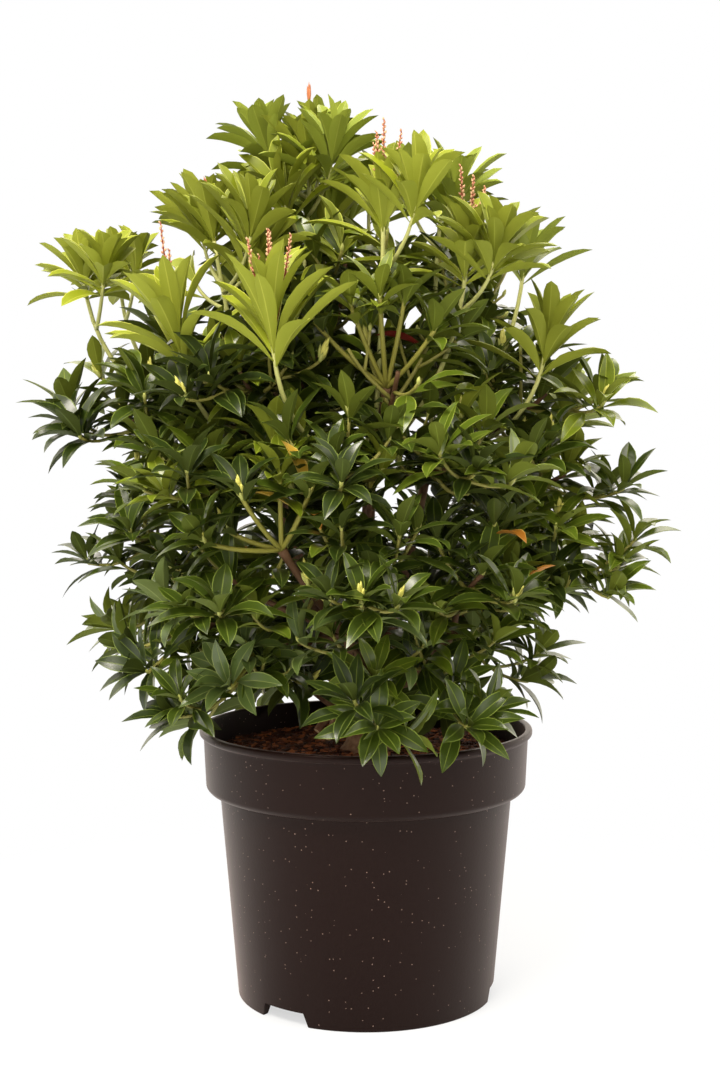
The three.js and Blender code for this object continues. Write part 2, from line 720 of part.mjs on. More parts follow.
// Each bough is cut to the trunk and to the boughs before it, with a gap.
const limbs = [boxed(pot), boxed(soil), boxed(trunk)];
const taken = [makeTrunk(GAP)];
const boughSolids = {};
for (const [name, bough] of Object.entries(BOUGHS)) {
  const cut = taken.reduce((solid, other) => solid.subtract(other), makeBough(bough));
  boughSolids[name] = makeBough(bough, GAP);
  taken.push(boughSolids[name]);
  limbs.push(boxed(makeBough(bough, CLEARANCE)));
  group.add(meshOf(name, wholeOf(cut), COLOURS.bark));
}

const masses = [...tierMasses(), ...youngShoots()];
for (const mass of masses) {
  limbs.push(boxed(makeStem(mass, CLEARANCE), mass));
}

// Each mass is cut to the boughs and to the stems before it, with a gap.
const cutters = Object.values(boughSolids).map((solid) => boxed(solid));
for (const mass of masses) {
  const whole = makeMass(mass, masses, limbs);
  const box = whole.boundingBox();
  const near = cutters.filter((cutter) => boxesTouch(box, cutter.box));
  const cut = near.reduce((solid, cutter) => solid.subtract(cutter.solid), whole);
  cutters.push(boxed(makeStem(mass, GAP)));
  group.add(meshOf(mass.name, wholeOf(cut), mass.look));
}

export default group;
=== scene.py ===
"""The looks of a potted Japanese andromeda shrub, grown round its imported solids.

Lengths are in millimetres until a mesh is made, and +Z is up. The shrub grows by the rule of its
solids: a trunk, boughs, stems, side twigs and whorls of leaves, here carried on to finer twigs.
"""

import math

import bpy
import numpy as np
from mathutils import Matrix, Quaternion, Vector, noise


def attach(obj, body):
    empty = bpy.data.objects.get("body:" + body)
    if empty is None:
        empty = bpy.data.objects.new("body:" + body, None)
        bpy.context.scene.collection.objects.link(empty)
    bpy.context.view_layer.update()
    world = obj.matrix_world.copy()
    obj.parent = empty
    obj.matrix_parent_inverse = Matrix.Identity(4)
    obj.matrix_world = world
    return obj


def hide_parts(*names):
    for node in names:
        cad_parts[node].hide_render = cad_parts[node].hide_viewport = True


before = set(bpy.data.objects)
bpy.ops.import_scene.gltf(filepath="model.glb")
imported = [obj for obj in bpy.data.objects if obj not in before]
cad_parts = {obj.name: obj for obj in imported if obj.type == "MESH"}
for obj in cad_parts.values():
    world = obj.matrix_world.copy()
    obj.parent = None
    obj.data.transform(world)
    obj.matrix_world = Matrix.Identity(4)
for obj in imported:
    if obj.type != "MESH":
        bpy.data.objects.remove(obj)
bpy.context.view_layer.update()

MM = 0.001
UP = Vector((0, 0, 1))
GOLDEN_TURN = 137.5
SEED = 20266
MIX = (0x9E3779B1, 0x85EBCA6B)
WORD = 2**32

# The solids' driving sizes.

POT = {
    "height": 226, "rim_radius": 140, "rim_depth": 7, "collar_radius": 136.5,
    "collar_foot_radius": 134.5, "collar_height": 52, "shoulder_radius": 123, "foot_radius": 108,
    "wall": 2.4, "foot_height": 12, "foot_width": 6, "floor": 3, "pad_radius": 40, "draft": 2,
}
NOTCH = {"count": 3, "heading": -38, "width": 40, "flare": 4, "depth": 26, "roof": 0.6}
DRAIN = {"count": 6, "ring": 74, "radius": 6, "cut": (4, 24)}
SOIL = {"level": 206, "edge_level": 203}

TRUNK = {
    "radius": 12, "flare_radius": 24, "flare_height": 18, "flare_fall": 2.2, "height": 52,
    "lean": 4,
}
BOUGH = {
    "foot_radius": 6.4, "tip_radius": 3.4, "knot_radius": 4.8, "knot_length": 10, "foot_drop": 10,
    "reach_drop": 0.18, "bow_at": 0.45, "bow_out": 0.16, "bow_down": 6,
}
# Each bough's tip: its heading, its reach from the pot's axis and its height.
BOUGHS = {
    "bough_front": (-10, 88, 318),
    "bough_front_right": (50, 96, 318),
    "bough_right": (104, 96, 326),
    "bough_back": (163, 92, 320),
    "bough_back_left": (-142, 96, 326),
    "bough_left": (-82, 100, 322),
    "bough_upright_front": (5, 58, 452),
    "bough_upright_right": (96, 56, 462),
    "bough_upright_back": (178, 54, 456),
    "bough_upright_left": (-84, 84, 470),
}
# Each tier of masses: how far they rise above the horizon, how far their whorls lift, and each
# mass's heading, reach and height.
TIERS = {
    "skirt": (
        14,
        0.4,
        [
            (3, 108, 277), (34, 94, 268), (92, 80, 286), (162, 100, 268), (-141, 108, 264),
            (-92, 150, 332), (-54, 115, 268),
        ],
    ),
    "waist": (
        30,
        0.45,
        [
            (1, 166, 351), (33, 138, 351), (86, 147, 362), (140, 162, 368), (-158, 158, 374),
            (-94, 176, 374), (-34, 157, 348),
        ],
    ),
    "shoulder": (
        36,
        0.45,
        [
            (-7, 169, 433), (24, 147, 438), (82, 143, 422), (142, 172, 470), (-140, 175, 470),
            (-85, 178, 471), (-40, 159, 425),
        ],
    ),
    "neck": (
        48,
        0.45,
        [
            (-39, 135, 498), (10, 118, 497), (81, 131, 484), (146, 111, 535), (-150, 115, 535),
            (-90, 162, 502),
        ],
    ),
    "crest": (
        62,
        0.5,
        [(-30, 21, 586), (105, 65, 568), (-123, 79, 589)],
    ),
}
# Each young shoot: heading, reach and height of its highest whorl, its lean from upright, and its
# racemes, its leaves' size and its side twigs.
SHOOTS = {
    "shoot_front": (-22, 184, 543, 6, 4, 1.2, 0),
    "shoot_front_left": (-49, 188, 539, 12, 2, 1.2, 0),
    "shoot_left": (-86, 232, 597, 6, 0, 0.75, 1),
    "shoot_left_back": (-107, 224, 610, 2, 0, 0.75, 1),
    "shoot_upper_left": (-57, 142, 622, 10, 1, 0.95, 2),
    "shoot_upper_back": (-114, 118, 650, 4, 0, 0.85, 1),
    "shoot_upper_front": (6, 121, 632, 4, 3, 0.95, 1),
    "shoot_upper_right": (35, 134, 603, 8, 3, 0.9, 1),
    "shoot_right": (85, 130, 604, 6, 0, 0.9, 0),
    "shoot_right_front": (62, 160, 536, 10, 0, 1, 0),
    "shoot_right_low": (93, 167, 490, 8, 0, 0.8, 0),
    "shoot_top": (-86, 47, 692, 0, 1, 0.9, 3),
    "shoot_top_right": (84, 62, 658, 4, 0, 0.9, 2),
    "shoot_top_back": (178, 80, 664, 6, 0, 0.9, 2),
    "shoot_back_right": (138, 150, 590, 14, 2, 1, 1),
    "shoot_back": (176, 186, 566, 12, 3, 1.1, 1),
    "shoot_back_left": (-150, 166, 584, 14, 0, 1, 1),
}
OLD_FORK = {"open": 62, "length": 56, "ahead": 28, "straight": 14}
YOUNG_FORK = {"open": 62, "length": 58, "ahead": 34, "lift": 0.7, "below": 90, "bow": 0.55}
TWIG = {
    "spacing": 7, "first_turn": 30, "bow": 0.6, "tip": 0.45, "sway_open": 8, "sway_turn": 16,
    "sway_length": 0.14,
}
OLD_SPACE = {"radius": 70, "ahead": 0.7}
YOUNG_SPACE = {"radius": 74, "ahead": 0.4}
# What each seeded draw is for, and the first key of all that is numbered.
DRAW = {"open": 3, "turn": 4, "length": 5, "inner_turn": 19, "sub_turn": 29}
FIRST_KEY = {"tier": 10, "shoot": 40, "inner": 20, "sub": 30, "fan": 80, "raceme": 60}

# The finer growth.

# A whorl: how many leaves, their length and width, how far the lowest and the innermost open from
# the axis, how far each bends, the span of stem that they leave from, where along it a leaf is
# widest, how fast it narrows to its tip, how far its width follows its size, and how far it folds.
OLD_WHORL = {
    "leaves": 13, "length": 55, "width": 14.8, "lowest": 84, "innermost": 18, "bend": 42,
    "span": 22, "widest": 0.56, "tip_fall": 1.2, "broad": 1, "fold": 24,
}
YOUNG_WHORL = {
    "leaves": 23, "length": 74, "width": 14.8, "lowest": 58, "innermost": 10, "bend": 30,
    "span": 22, "widest": 0.64, "tip_fall": 0.74, "broad": 0.3, "fold": 35,
}
# How far the whorls of each tier turn further upwards, and how large their leaves are.
UP_SHARES = {"skirt": 0.4, "waist": 0.66, "shoulder": 0.66, "neck": 0.6, "crest": 0.5, "young": 0}
LEAF_SIZES = {"skirt": 0.9, "waist": 0.97, "shoulder": 1, "neck": 1, "crest": 1}
LEAF_DRAW = {
    "open": 6, "turn": 7, "length": 9, "bend": 10, "roll": 12, "width": 13, "fold": 14, "wave": 15,
    "widest": 19, "first_turn": 8, "phase": 16, "shade": 17, "size": 18,
}
LEAF_SWAY = {
    "open": 8, "turn": 9, "length": 0.13, "bend": 0.45, "roll": 12, "width": 0.12, "fold": 9,
    "wave": 0.9, "widest": 0.04,
}
# How much smaller the innermost and the lowest leaves of a whorl are, the share of a leaf's width
# that its size leaves as it is, how much closer the upper leaves stand, how deep a leaf's foot is in
# its twig, and how far in radians every leaf bends at least.
LEAF_FORM = {
    "inner_loss": 0.22, "lowest_loss": 0.10, "kept_width": 0.55, "crowding": 1.7, "sunk": 0.4,
    "least_bend": 0.05,
}
SPRAY_SWAY = 0.1  # how far the leaves of one older spray are larger or smaller than the next one's
# Finer twigs along a stem before its fork, and on those and on the side twigs.
INNER_TWIGS = {
    "count": 10, "step": 10, "length": 42, "open": 72, "lift": 0.5, "first": 0.15, "sway_open": 12,
    "sway_turn": 20, "sway_length": 0.2,
}
SUB_TWIGS = {
    "count": 2, "at": 0.42, "apart": 0.16, "open": 46, "share": 0.66, "lift": 0.4, "sway_open": 10,
    "sway_turn": 24, "sway_length": 0.18,
}
CROWD = 22  # no two whorls stand closer
# How far twigs and leaves may reach past their mass's own space, and how far they keep off the pot.
OVERREACH = {"side_twig": 12, "finer_twig": 6, "leaf": 18}
POT_ROOM = {"twig": 8, "leaf": 1.5}
VIEWPOINT = (-4.9, -1387.5, 469.4)
# Gaps between whorls that show sky from the front: on the plant's middle plane, how far aside, how
# high and how wide across its radius.
SKY_GAPS = [
    (-160, 628, 11), (-132, 592, 7), (-119, 634, 4), (-1, 648, 5), (26, 643, 7), (51, 644, 5),
    (-7, 619, 3), (-13, 561, 4), (13, 564, 4), (39, 569, 5), (120, 591, 9), (41, 479, 4),
    (112, 473, 4),
]
# Bare forks whose stems fan out from one node: heading, reach and height of the node and the ends.
FANS = [
    {
        "node": (-23, 163, 385),
        "ends": [
            (-33, 216, 392), (-26, 206, 424), (-20, 186, 440), (-13, 189, 426), (-33, 186, 398),
        ],
    },
    {
        "node": (8, 111, 507),
        "ends": [(-18, 131, 557), (-5, 134, 567), (4, 142, 572), (12, 136, 570), (21, 143, 549)],
    },
]
# Low sprays over the pot's rim and at the crown's lower left, laid down in the same way.
LOW_SPRAYS = [
    {"node": (-46, 115, 308), "ends": [(-41, 160, 276)]},
    {"node": (-70, 150, 318), "ends": [(-76, 196, 296), (-66, 190, 282)]},
    {"node": (-152, 84, 264), "ends": [(-130, 130, 247), (-148, 134, 243), (-166, 130, 246)]},
]
# How far a fan's stems and its branch sag, how thick they are and how much thicker the node is, how
# far aside and in front of them, and up to what share of their length, leaves are left off, that
# share for their own leaves, and how far their whorls turn upwards.
FAN = {
    "sag": 0.10, "branch_sag": 8, "radius": 2.1, "branch_radius": 3.2, "node": 1.3, "window": 7,
    "before": 2, "shown": 0.8, "own": 0.5, "up": 0.5,
}


def radians(degrees):
    return math.radians(degrees)


def lerp(a, b, share):
    return a + (b - a) * share


def chance(*keys):
    """A number from 0 to 1 that depends only on its whole-number keys."""
    h = SEED
    for key in keys:
        h = ((h ^ (key + 1)) * MIX[0]) % WORD
        h ^= h >> 15
        h = (h * MIX[1]) % WORD
        h ^= h >> 13
    return h / WORD


def sway(*keys):
    return 2 * chance(*keys) - 1


def outward(heading):
    return Vector((math.sin(radians(heading)), -math.cos(radians(heading)), 0))


def place_at(heading, reach, height):
    point = outward(heading) * reach
    point.z = height
    return point


def risen(level, rise):
    return level * math.cos(radians(rise)) + UP * math.sin(radians(rise))


def between(a, b, share):
    return (a * (1 - share) + b * share).normalized()


def across_of(direction):
    helper = UP if abs(direction.z) < 0.9 else Vector((1, 0, 0))
    side = helper.cross(direction).normalized()
    return side, direction.cross(side)


def opened(axis, angle, turn):
    a, b = across_of(axis)
    spread = math.sin(radians(angle))
    return (
        axis * math.cos(radians(angle))
        + a * spread * math.cos(radians(turn))
        + b * spread * math.sin(radians(turn))
    )


class Curve:
    """A quadratic Bezier line, read by the share of its length."""

    STEPS = 48

    def __init__(self, start, bow, end):
        shares = np.linspace(0, 1, self.STEPS + 1)[:, None]
        a, b, c = (np.array(p, float) for p in (start, bow, end))
        self.points = (1 - shares) ** 2 * a + 2 * shares * (1 - shares) * b + shares**2 * c
        steps = np.linalg.norm(np.diff(self.points, axis=0), axis=1)
        self.along = np.concatenate([[0], np.cumsum(steps)])
        self.length = self.along[-1]

    def at(self, shares):
        wanted = np.clip(np.atleast_1d(shares), 0, 1) * self.length
        return np.stack([np.interp(wanted, self.along, line) for line in self.points.T], axis=1)

    def point(self, share):
        return Vector(self.at(share)[0])

    def tangent(self, share):
        step = 0.02
        ahead, behind = self.at(min(share + step, 1))[0], self.at(max(share - step, 0))[0]
        return Vector(ahead - behind).normalized()


# Boughs, masses and twigs.

trunk_foot = Vector((0, 0, SOIL["level"]))
trunk_top = Vector((-TRUNK["lean"], TRUNK["lean"] / 2, SOIL["level"] + TRUNK["height"]))


def bough_line(name):
    """The line of a bough, from inside the trunk to its tip."""
    heading, reach, height = BOUGHS[name]
    tip = place_at(heading, reach, height)
    foot = trunk_top - UP * (BOUGH["foot_drop"] + BOUGH["reach_drop"] * reach)
    bow = foot.lerp(tip, BOUGH["bow_at"]) - UP * BOUGH["bow_down"]
    bow += outward(heading) * (BOUGH["bow_out"] * reach)
    return Curve(foot, bow, tip)


bough_lines = {name: bough_line(name) for name in BOUGHS}


def nearest_bough(point):
    return min(BOUGHS, key=lambda name: (place_at(*BOUGHS[name]) - point).length)


def knot_of(name):
    """The knot's middle, inside the end of a bough, where its stems start."""
    line = bough_lines[name]
    return line.point(1 - BOUGH["knot_length"] / 2 / line.length)


def stem_line(start, end, aim, last_part):
    """The line of a stem that turns, over its last part, to end along an aim."""
    return Curve(start, end - aim * last_part, end)


def tier_masses():
    """Every mass of older foliage: its fork, the way it points and the stem that carries it."""
    masses = []
    for t, (name, (rise, lift, places)) in enumerate(TIERS.items()):
        for i, place in enumerate(places):
            fork = place_at(*place)
            aim = risen(outward(place[0]), rise)
            end = fork + aim * OLD_FORK["ahead"]
            start = knot_of(nearest_bough(fork))
            masses.append(
                {
                    "name": f"foliage_{name}_{i + 1}",
                    "tier": name,
                    "keys": (FIRST_KEY["tier"] + t, i),
                    "fork": fork,
                    "end": end,
                    "aim": aim,
                    "lift": lift,
                    "up": UP_SHARES[name],
                    "racemes": 0,
                    "twigs": 3,
                    "side": OLD_FORK,
                    "size": 1,
                    "young": False,
                    "stem": stem_line(start, end, aim, OLD_FORK["ahead"] + OLD_FORK["straight"]),
                    "centre": fork + aim * (OLD_SPACE["ahead"] * OLD_FORK["length"]),
                    "radius": OLD_SPACE["radius"],
                }
            )
    return masses


def young_shoots():
    """Every young shoot: one long stem that turns upwards to its highest whorl."""
    shoots = []
    for i, (name, values) in enumerate(SHOOTS.items()):
        heading, reach, height, lean, racemes, size, twigs = values
        end = place_at(heading, reach, height)
        aim = risen(outward(heading), 90 - lean)
        start = knot_of(nearest_bough(end - UP * YOUNG_FORK["below"]))
        length = size * YOUNG_WHORL["length"]
        shoots.append(
            {
                "name": name,
                "tier": "young",
                "keys": (FIRST_KEY["shoot"], i),
                "fork": end - aim * YOUNG_FORK["ahead"],
                "end": end,
                "aim": aim,
                "lift": YOUNG_FORK["lift"],
                "up": UP_SHARES["young"],
                "racemes": racemes,
                "twigs": twigs,
                "side": YOUNG_FORK,
                "size": size,
                "young": True,
                "stem": stem_line(start, end, aim, YOUNG_FORK["bow"] * (end - start).length),
                "centre": end + aim * (YOUNG_SPACE["ahead"] * length),
                "radius": YOUNG_SPACE["radius"],
            }
        )
    return shoots


def twig_from(foot, aim, lift, angle, turn, length, stem=None):
    """A twig that leaves its foot at an angle and turns up at its end: its line and its axis there.
    With a stem, its line starts at the stem's nearest point."""
    direction = opened(aim, angle, turn)
    axis = between(direction, UP, lift)
    bow = foot + direction * (TWIG["bow"] * length)
    tip = bow + axis * (TWIG["tip"] * length)
    if stem:
        points = stem.at(np.linspace(0, 1, 80))
        foot = Vector(points[np.linalg.norm(points - np.array(foot), axis=1).argmin()])
    return Curve(foot, bow, tip), axis


def varied_twig(keys, rule, foot, aim, turn, length, level, stem=None):
    """A twig by a rule for how far it opens and lifts, varied by chance. Level 2 is the finest."""
    angle = rule["open"] + rule["sway_open"] * sway(*keys, DRAW["open"])
    turn += rule["sway_turn"] * sway(*keys, DRAW["turn"])
    length *= 1 + rule["sway_length"] * sway(*keys, DRAW["length"])
    line, axis = twig_from(foot, aim, rule["lift"], angle, turn, length, stem)
    return {"line": line, "axis": axis, "keys": keys, "level": level}


def side_twigs(mass):
    """The solids' own side twigs."""
    twigs = []
    rule = {**TWIG, **mass["side"], "lift": mass["lift"]}
    for i in range(mass["twigs"]):
        keys = (*mass["keys"], i)
        foot = mass["fork"] + mass["aim"] * (rule["spacing"] * (i - 1))
        turn = rule["first_turn"] + 360 * i / mass["twigs"]
        own = varied_twig(keys, rule, foot, mass["aim"], turn, rule["length"], 1, mass["stem"])
        twigs.append(own)
    return twigs


def inner_twigs(mass):
    """Finer twigs that leave the stem before its fork and fill the mass's middle."""
    twigs = []
    rule, stem = INNER_TWIGS, mass["stem"]
    for i in range(rule["count"] - 2 * mass["young"]):
        keys = (*mass["keys"], FIRST_KEY["inner"] + i)
        share = 1 - (mass["side"]["ahead"] + rule["step"] * (i + 1)) / stem.length
        if share < rule["first"]:
            continue
        foot, along = stem.point(share), stem.tangent(share)
        turn = GOLDEN_TURN * i + 360 * chance(*mass["keys"], DRAW["inner_turn"])
        twigs.append(varied_twig(keys, rule, foot, along, turn, rule["length"], 1))
    return twigs


def sub_twigs(twig):
    """The last and finest twigs, on another twig."""
    twigs = []
    rule, line = SUB_TWIGS, twig["line"]
    for i in range(rule["count"]):
        keys = (*twig["keys"], FIRST_KEY["sub"] + i)
        foot, along = line.point(rule["at"] + rule["apart"] * i), line.tangent(rule["at"])
        turn = 180 * i + 360 * chance(*twig["keys"], DRAW["sub_turn"])
        length = rule["share"] * line.length
        twigs.append(varied_twig(keys, rule, foot, along, turn, length, 2))
    return twigs


masses = tier_masses() + young_shoots()


def borders_of(mass):
    """The planes that part a mass's own space from the others', as rows of [normal, limit]."""
    rows = []
    for other in masses:
        if other is mass:
            continue
        normal = other["centre"] - mass["centre"]
        apart = normal.length
        share = (apart**2 + mass["radius"] ** 2 - other["radius"] ** 2) / (2 * apart)
        normal /= apart
        rows.append((*normal, normal.dot(mass["centre"]) + share))
    return np.array(rows)


def past_borders(points, borders):
    """How far the furthest of some points lies past a mass's own space."""
    return float((np.atleast_2d(points) @ borders[:, :3].T - borders[:, 3]).max())


def in_pot(points, room):
    """Whether any of some points is in the pot's wall or in the soil, with some room round them."""
    points = np.atleast_2d(points)
    reach = np.hypot(points[:, 0], points[:, 1])
    height = points[:, 2]
    collar_foot = POT["height"] - POT["collar_height"]
    outer = np.where(height > collar_foot - room, POT["rim_radius"], POT["shoulder_radius"]) + room
    inner = POT["collar_foot_radius"] - POT["wall"] - room
    wall = (reach < outer) & (reach > inner) & (height < POT["height"] + room)
    soil = (reach <= inner) & (height < SOIL["level"] + room)
    return bool((wall | soil).any())


def fan_line(node, end):
    """The line of one stem of a fan or of a low spray."""
    foot, tip = place_at(*node), place_at(*end)
    bow = foot.lerp(tip, 0.5) - UP * (FAN["sag"] * (tip - foot).length)
    return Curve(foot, bow, tip)


sprays = FANS + LOW_SPRAYS
spray_lines = [[fan_line(spray["node"], end) for end in spray["ends"]] for spray in sprays]


def grow():
    """Every whorl of the crown, with the twigs that carry them."""
    whorls, twigs, taken = [], [], []

    def free(tip):
        return all((tip - other).length > CROWD for other in taken)

    def add(mass, line, axis, keys):
        tip = line.point(1)
        taken.append(tip)
        whorls.append({"tip": tip, "axis": axis, "keys": keys, "mass": mass, "line": line})

    for mass in masses:
        mass["borders"] = borders_of(mass)
        add(mass, mass["stem"], between(mass["aim"], UP, mass["up"]), mass["keys"])
        mass["own"] = side_twigs(mass)
        for twig in mass["own"]:
            tip = twig["line"].point(1)
            past = past_borders(tip, mass["borders"])
            if past > OVERREACH["side_twig"] or in_pot(tip, POT_ROOM["twig"]):
                continue
            twigs.append({**twig, "mass": mass})
            add(mass, twig["line"], between(twig["axis"], UP, mass["up"]), twig["keys"])
    old_masses = [mass for mass in masses if not mass["young"]]
    for f, lines in enumerate(spray_lines):
        for i, line in enumerate(lines):
            tip = line.point(1)
            home = min(old_masses, key=lambda mass: past_borders(tip, mass["borders"]))
            axis = between(line.tangent(1), UP, FAN["up"])
            add({**home, "fan": True}, line, axis, (FIRST_KEY["fan"] + f, i))
    for mass in masses:
        finer = inner_twigs(mass) if not mass["young"] or mass["twigs"] > 1 else []
        if not mass["young"]:
            for twig in mass["own"] + finer:
                finer = finer + sub_twigs(twig)
        for twig in finer:
            tip = twig["line"].point(1)
            past = past_borders(tip, mass["borders"])
            if past > OVERREACH["finer_twig"] or in_pot(tip, POT_ROOM["twig"]):
                continue
            if not free(tip):
                continue
            twigs.append({**twig, "mass": mass})
            add(mass, twig["line"], between(twig["axis"], UP, mass["up"]), twig["keys"])
    return whorls, twigs


def in_sky_gap(points):
    """Whether any of some points, seen from the front, stands in a gap that shows sky."""
    share = VIEWPOINT[1] / (VIEWPOINT[1] - points[:, 1])
    seen = np.array(VIEWPOINT) + (points - np.array(VIEWPOINT)) * share[:, None]
    return any(
        (np.hypot(seen[:, 0] - aside, seen[:, 2] - height) < radius).any()
        for aside, height, radius in SKY_GAPS
    )


def in_window(points, shown):
    """Whether any of some points hides a bare fork's stems, up to a share of their length."""
    for fan, lines in zip(FANS, spray_lines):
        out = np.array(outward(fan["node"][0]))
        stems = np.concatenate([line.at(np.linspace(0, shown, 12)) for line in lines])
        depth, stem_depth = points @ out, stems @ out
        if depth.max() < place_at(*fan["node"]).dot(Vector(out)):
            continue
        across = points - depth[:, None] * out
        across_stems = stems - stem_depth[:, None] * out
        apart = np.linalg.norm(across[:, None] - across_stems[None], axis=2)
        before = depth[:, None] > stem_depth[None] + FAN["before"]
        if ((apart < FAN["window"]) & before).any():
            return True
    return False


# Materials.


def set_inputs(node, values):
    for socket, value in values.items():
        node.inputs[socket].default_value = value


def added(tree, kind, values=None, operation=None):
    """A new node with some of its inputs set."""
    node = tree.nodes.new(kind)
    set_inputs(node, values or {})
    if operation:
        node.operation = operation
    return node


def wire(tree, *wires):
    """Joins nodes. A wire is a node, its output, the next node and that node's input."""
    for source, output, target, socket in wires:
        tree.links.new(source.outputs[output], target.inputs[socket])


def material(name, color, roughness, bump, specular=0.5, mottle=None):
    """A Principled material. bump is (scale, detail, strength, distance) of its grain. mottle is
    (second colour, scale, low, high) of a noise that mixes the second colour in."""
    made = bpy.data.materials.new(name)
    made.use_nodes = True
    tree = made.node_tree
    shader = tree.nodes["Principled BSDF"]
    look = {"Base Color": (*color, 1), "Roughness": roughness, "Specular IOR Level": specular}
    set_inputs(shader, look)
    place = added(tree, "ShaderNodeTexCoord")
    scale, detail, strength, distance = bump
    grain = added(tree, "ShaderNodeTexNoise", {"Scale": scale, "Detail": detail})
    relief = added(tree, "ShaderNodeBump", {"Strength": strength, "Distance": distance})
    wire(
        tree,
        (place, "Object", grain, "Vector"),
        (grain, "Fac", relief, "Height"),
        (relief, "Normal", shader, "Normal"),
    )
    if mottle:
        second, scale, low, high = mottle
        patches = added(tree, "ShaderNodeTexNoise", {"Scale": scale, "Detail": 6})
        ramp = added(tree, "ShaderNodeValToRGB")
        for element, position, tone in zip(ramp.color_ramp.elements, (low, high), (color, second)):
            element.position = position
            element.color = (*tone, 1)
        wire(
            tree,
            (place, "Object", patches, "Vector"),
            (patches, "Fac", ramp, "Fac"),
            (ramp, "Color", shader, "Base Color"),
        )
    return made


# Each shade of leaf: its upper side, its underside and its palest lines.
SHADES = {
    "deep": ((0.015, 0.026, 0.003), (0.048, 0.064, 0.010), (0.085, 0.115, 0.018)),
    "dark": ((0.030, 0.049, 0.004), (0.074, 0.096, 0.012), (0.12, 0.16, 0.022)),
    "mid": ((0.060, 0.090, 0.006), (0.112, 0.138, 0.016), (0.17, 0.21, 0.028)),
    "fresh": ((0.105, 0.140, 0.007), (0.170, 0.198, 0.020), (0.24, 0.28, 0.035)),
    "light": ((0.155, 0.186, 0.008), (0.205, 0.230, 0.024), (0.31, 0.34, 0.05)),
    "lime": ((0.218, 0.254, 0.012), (0.262, 0.292, 0.032), (0.40, 0.42, 0.065)),
    "olive": ((0.185, 0.232, 0.020), (0.228, 0.270, 0.036), (0.33, 0.37, 0.06)),
    "sage": ((0.062, 0.094, 0.022), (0.116, 0.150, 0.042), (0.17, 0.21, 0.06)),
    "yellow": ((0.480, 0.300, 0.035), (0.480, 0.320, 0.060), (0.60, 0.45, 0.10)),
    "orange": ((0.450, 0.170, 0.020), (0.450, 0.190, 0.030), (0.60, 0.35, 0.08)),
    "red": ((0.060, 0.006, 0.005), (0.110, 0.012, 0.008), (0.16, 0.03, 0.015)),
}
SHADE_NAMES = list(SHADES)
LEAF_LOOKS = 4
YOUNG_SHADES = ("light", "lime", "olive")
# How far midribs and margins stand from the underside's colour towards the palest one or past it.
# The margins are pale on the leaves themselves, and their share past the palest colour is a painted
# glint along the edges.
LINE_SHARES = {"old": {"midrib": 0.8, "margin": 1.35}, "young": {"midrib": 0.6, "margin": 1.1}}
# The roughness and the specular level of a leaf's upper side.
SHINE = {"old": (0.29, 0.5), "young": (0.46, 0.3)}


def leaf_materials():
    """Four for each shade, in the order of a leaf's parts."""
    made = []
    for name, (top, under, palest) in SHADES.items():
        age = "young" if name in YOUNG_SHADES else "old"
        roughness, specular = SHINE[age]
        grain = (900, 3, 0.12, 0.0004)
        made.append(material(f"leaf_{name}_top", top, roughness, grain, specular))
        made.append(material(f"leaf_{name}_underside", under, 0.6, (900, 3, 0.15, 0.0004), 0.2))
        # The margin colours, past the palest one, are partly a painted glint along the leaves'
        # edges.
        for part, share in LINE_SHARES[age].items():
            color = tuple(lerp(under[i], palest[i], share) for i in range(3))
            made.append(material(f"leaf_{name}_{part}", color, 0.5, (600, 2, 0.1, 0.0003), 0.25))
    return made


leaf_looks = leaf_materials()

# Leaves.

# A leaf is bent along this many even steps, and its rows lie at some of them. Then its columns.
BEND_STEPS = 40
BEND_POWER = 1.5
ROW_STEPS = np.array([0, 3, 8, 14, 20, 26, 31, 36, 40])
STATIONS = ROW_STEPS / BEND_STEPS
PETIOLE = {"width": 0.075, "length": 0.12}
COLUMNS = np.array([-1, -0.9, -0.055, 0.055, 0.9, 1])
KEEL = 0.07  # half the width of the midrib beneath, as a share of the leaf's half width
LEAF_THICKNESS = 0.5
THINNEST = 0.6  # the least share of it, at a leaf's narrow ends
LEAF_RIPPLES = 1.3
ROLLED_MARGIN = 0.1
ROWS = len(STATIONS) - 1  # all but the tip, which is one point
TOP_POINTS = ROWS * len(COLUMNS)
LEAF_POINTS = TOP_POINTS + 2 * ROWS + 1


def half_widths(widest, tip_fall):
    """Of each leaf and row, as a share of half its full width."""
    stations = STATIONS[None, :-1]
    rise = tip_fall * widest / (1 - widest)
    peak = widest**rise * (1 - widest) ** tip_fall
    shares = stations**rise * (1 - stations) ** tip_fall / peak
    on_petiole = stations < PETIOLE["length"]
    return np.where(on_petiole, np.maximum(shares, PETIOLE["width"]), shares)


def leaf_faces():
    """The faces of one leaf, each one's part and the edges along its margin. The parts are
    0 upper side, 1 underside, 2 midrib and 3 margin."""
    across = len(COLUMNS)
    tip = LEAF_POINTS - 1
    faces, parts = [], []
    keel = [(TOP_POINTS + 2 * r, TOP_POINTS + 2 * r + 1) for r in range(ROWS)]
    for r in range(ROWS):
        for c in range(across - 1):
            part = 2 if c == across // 2 - 1 else 3 if c in (0, across - 2) else 0
            a = r * across + c
            if r < ROWS - 1:
                faces.append((a, a + 1, a + 1 + across, a + across))
            else:
                faces.append((a, a + 1, tip))
            parts.append(part)
        left, right = r * across, r * across + across - 1
        one, two = keel[r]
        if r < ROWS - 1:
            far_one, far_two = keel[r + 1]
            faces.append((left, left + across, far_one, one))
            faces.append((one, far_one, far_two, two))
            faces.append((two, far_two, right + across, right))
        else:
            faces.append((left, tip, one))
            faces.append((one, tip, two))
            faces.append((two, tip, right))
        parts += [1, 2, 1]
    faces.append((*range(across - 1, -1, -1), *keel[0]))
    parts.append(1)
    margins = []
    for r in range(ROWS):
        for side in (0, across - 1):
            here = r * across + side
            margins.append((here, here + across if r < ROWS - 1 else tip))
    return faces, parts, margins


LEAF_FACES, LEAF_PARTS, LEAF_MARGINS = leaf_faces()


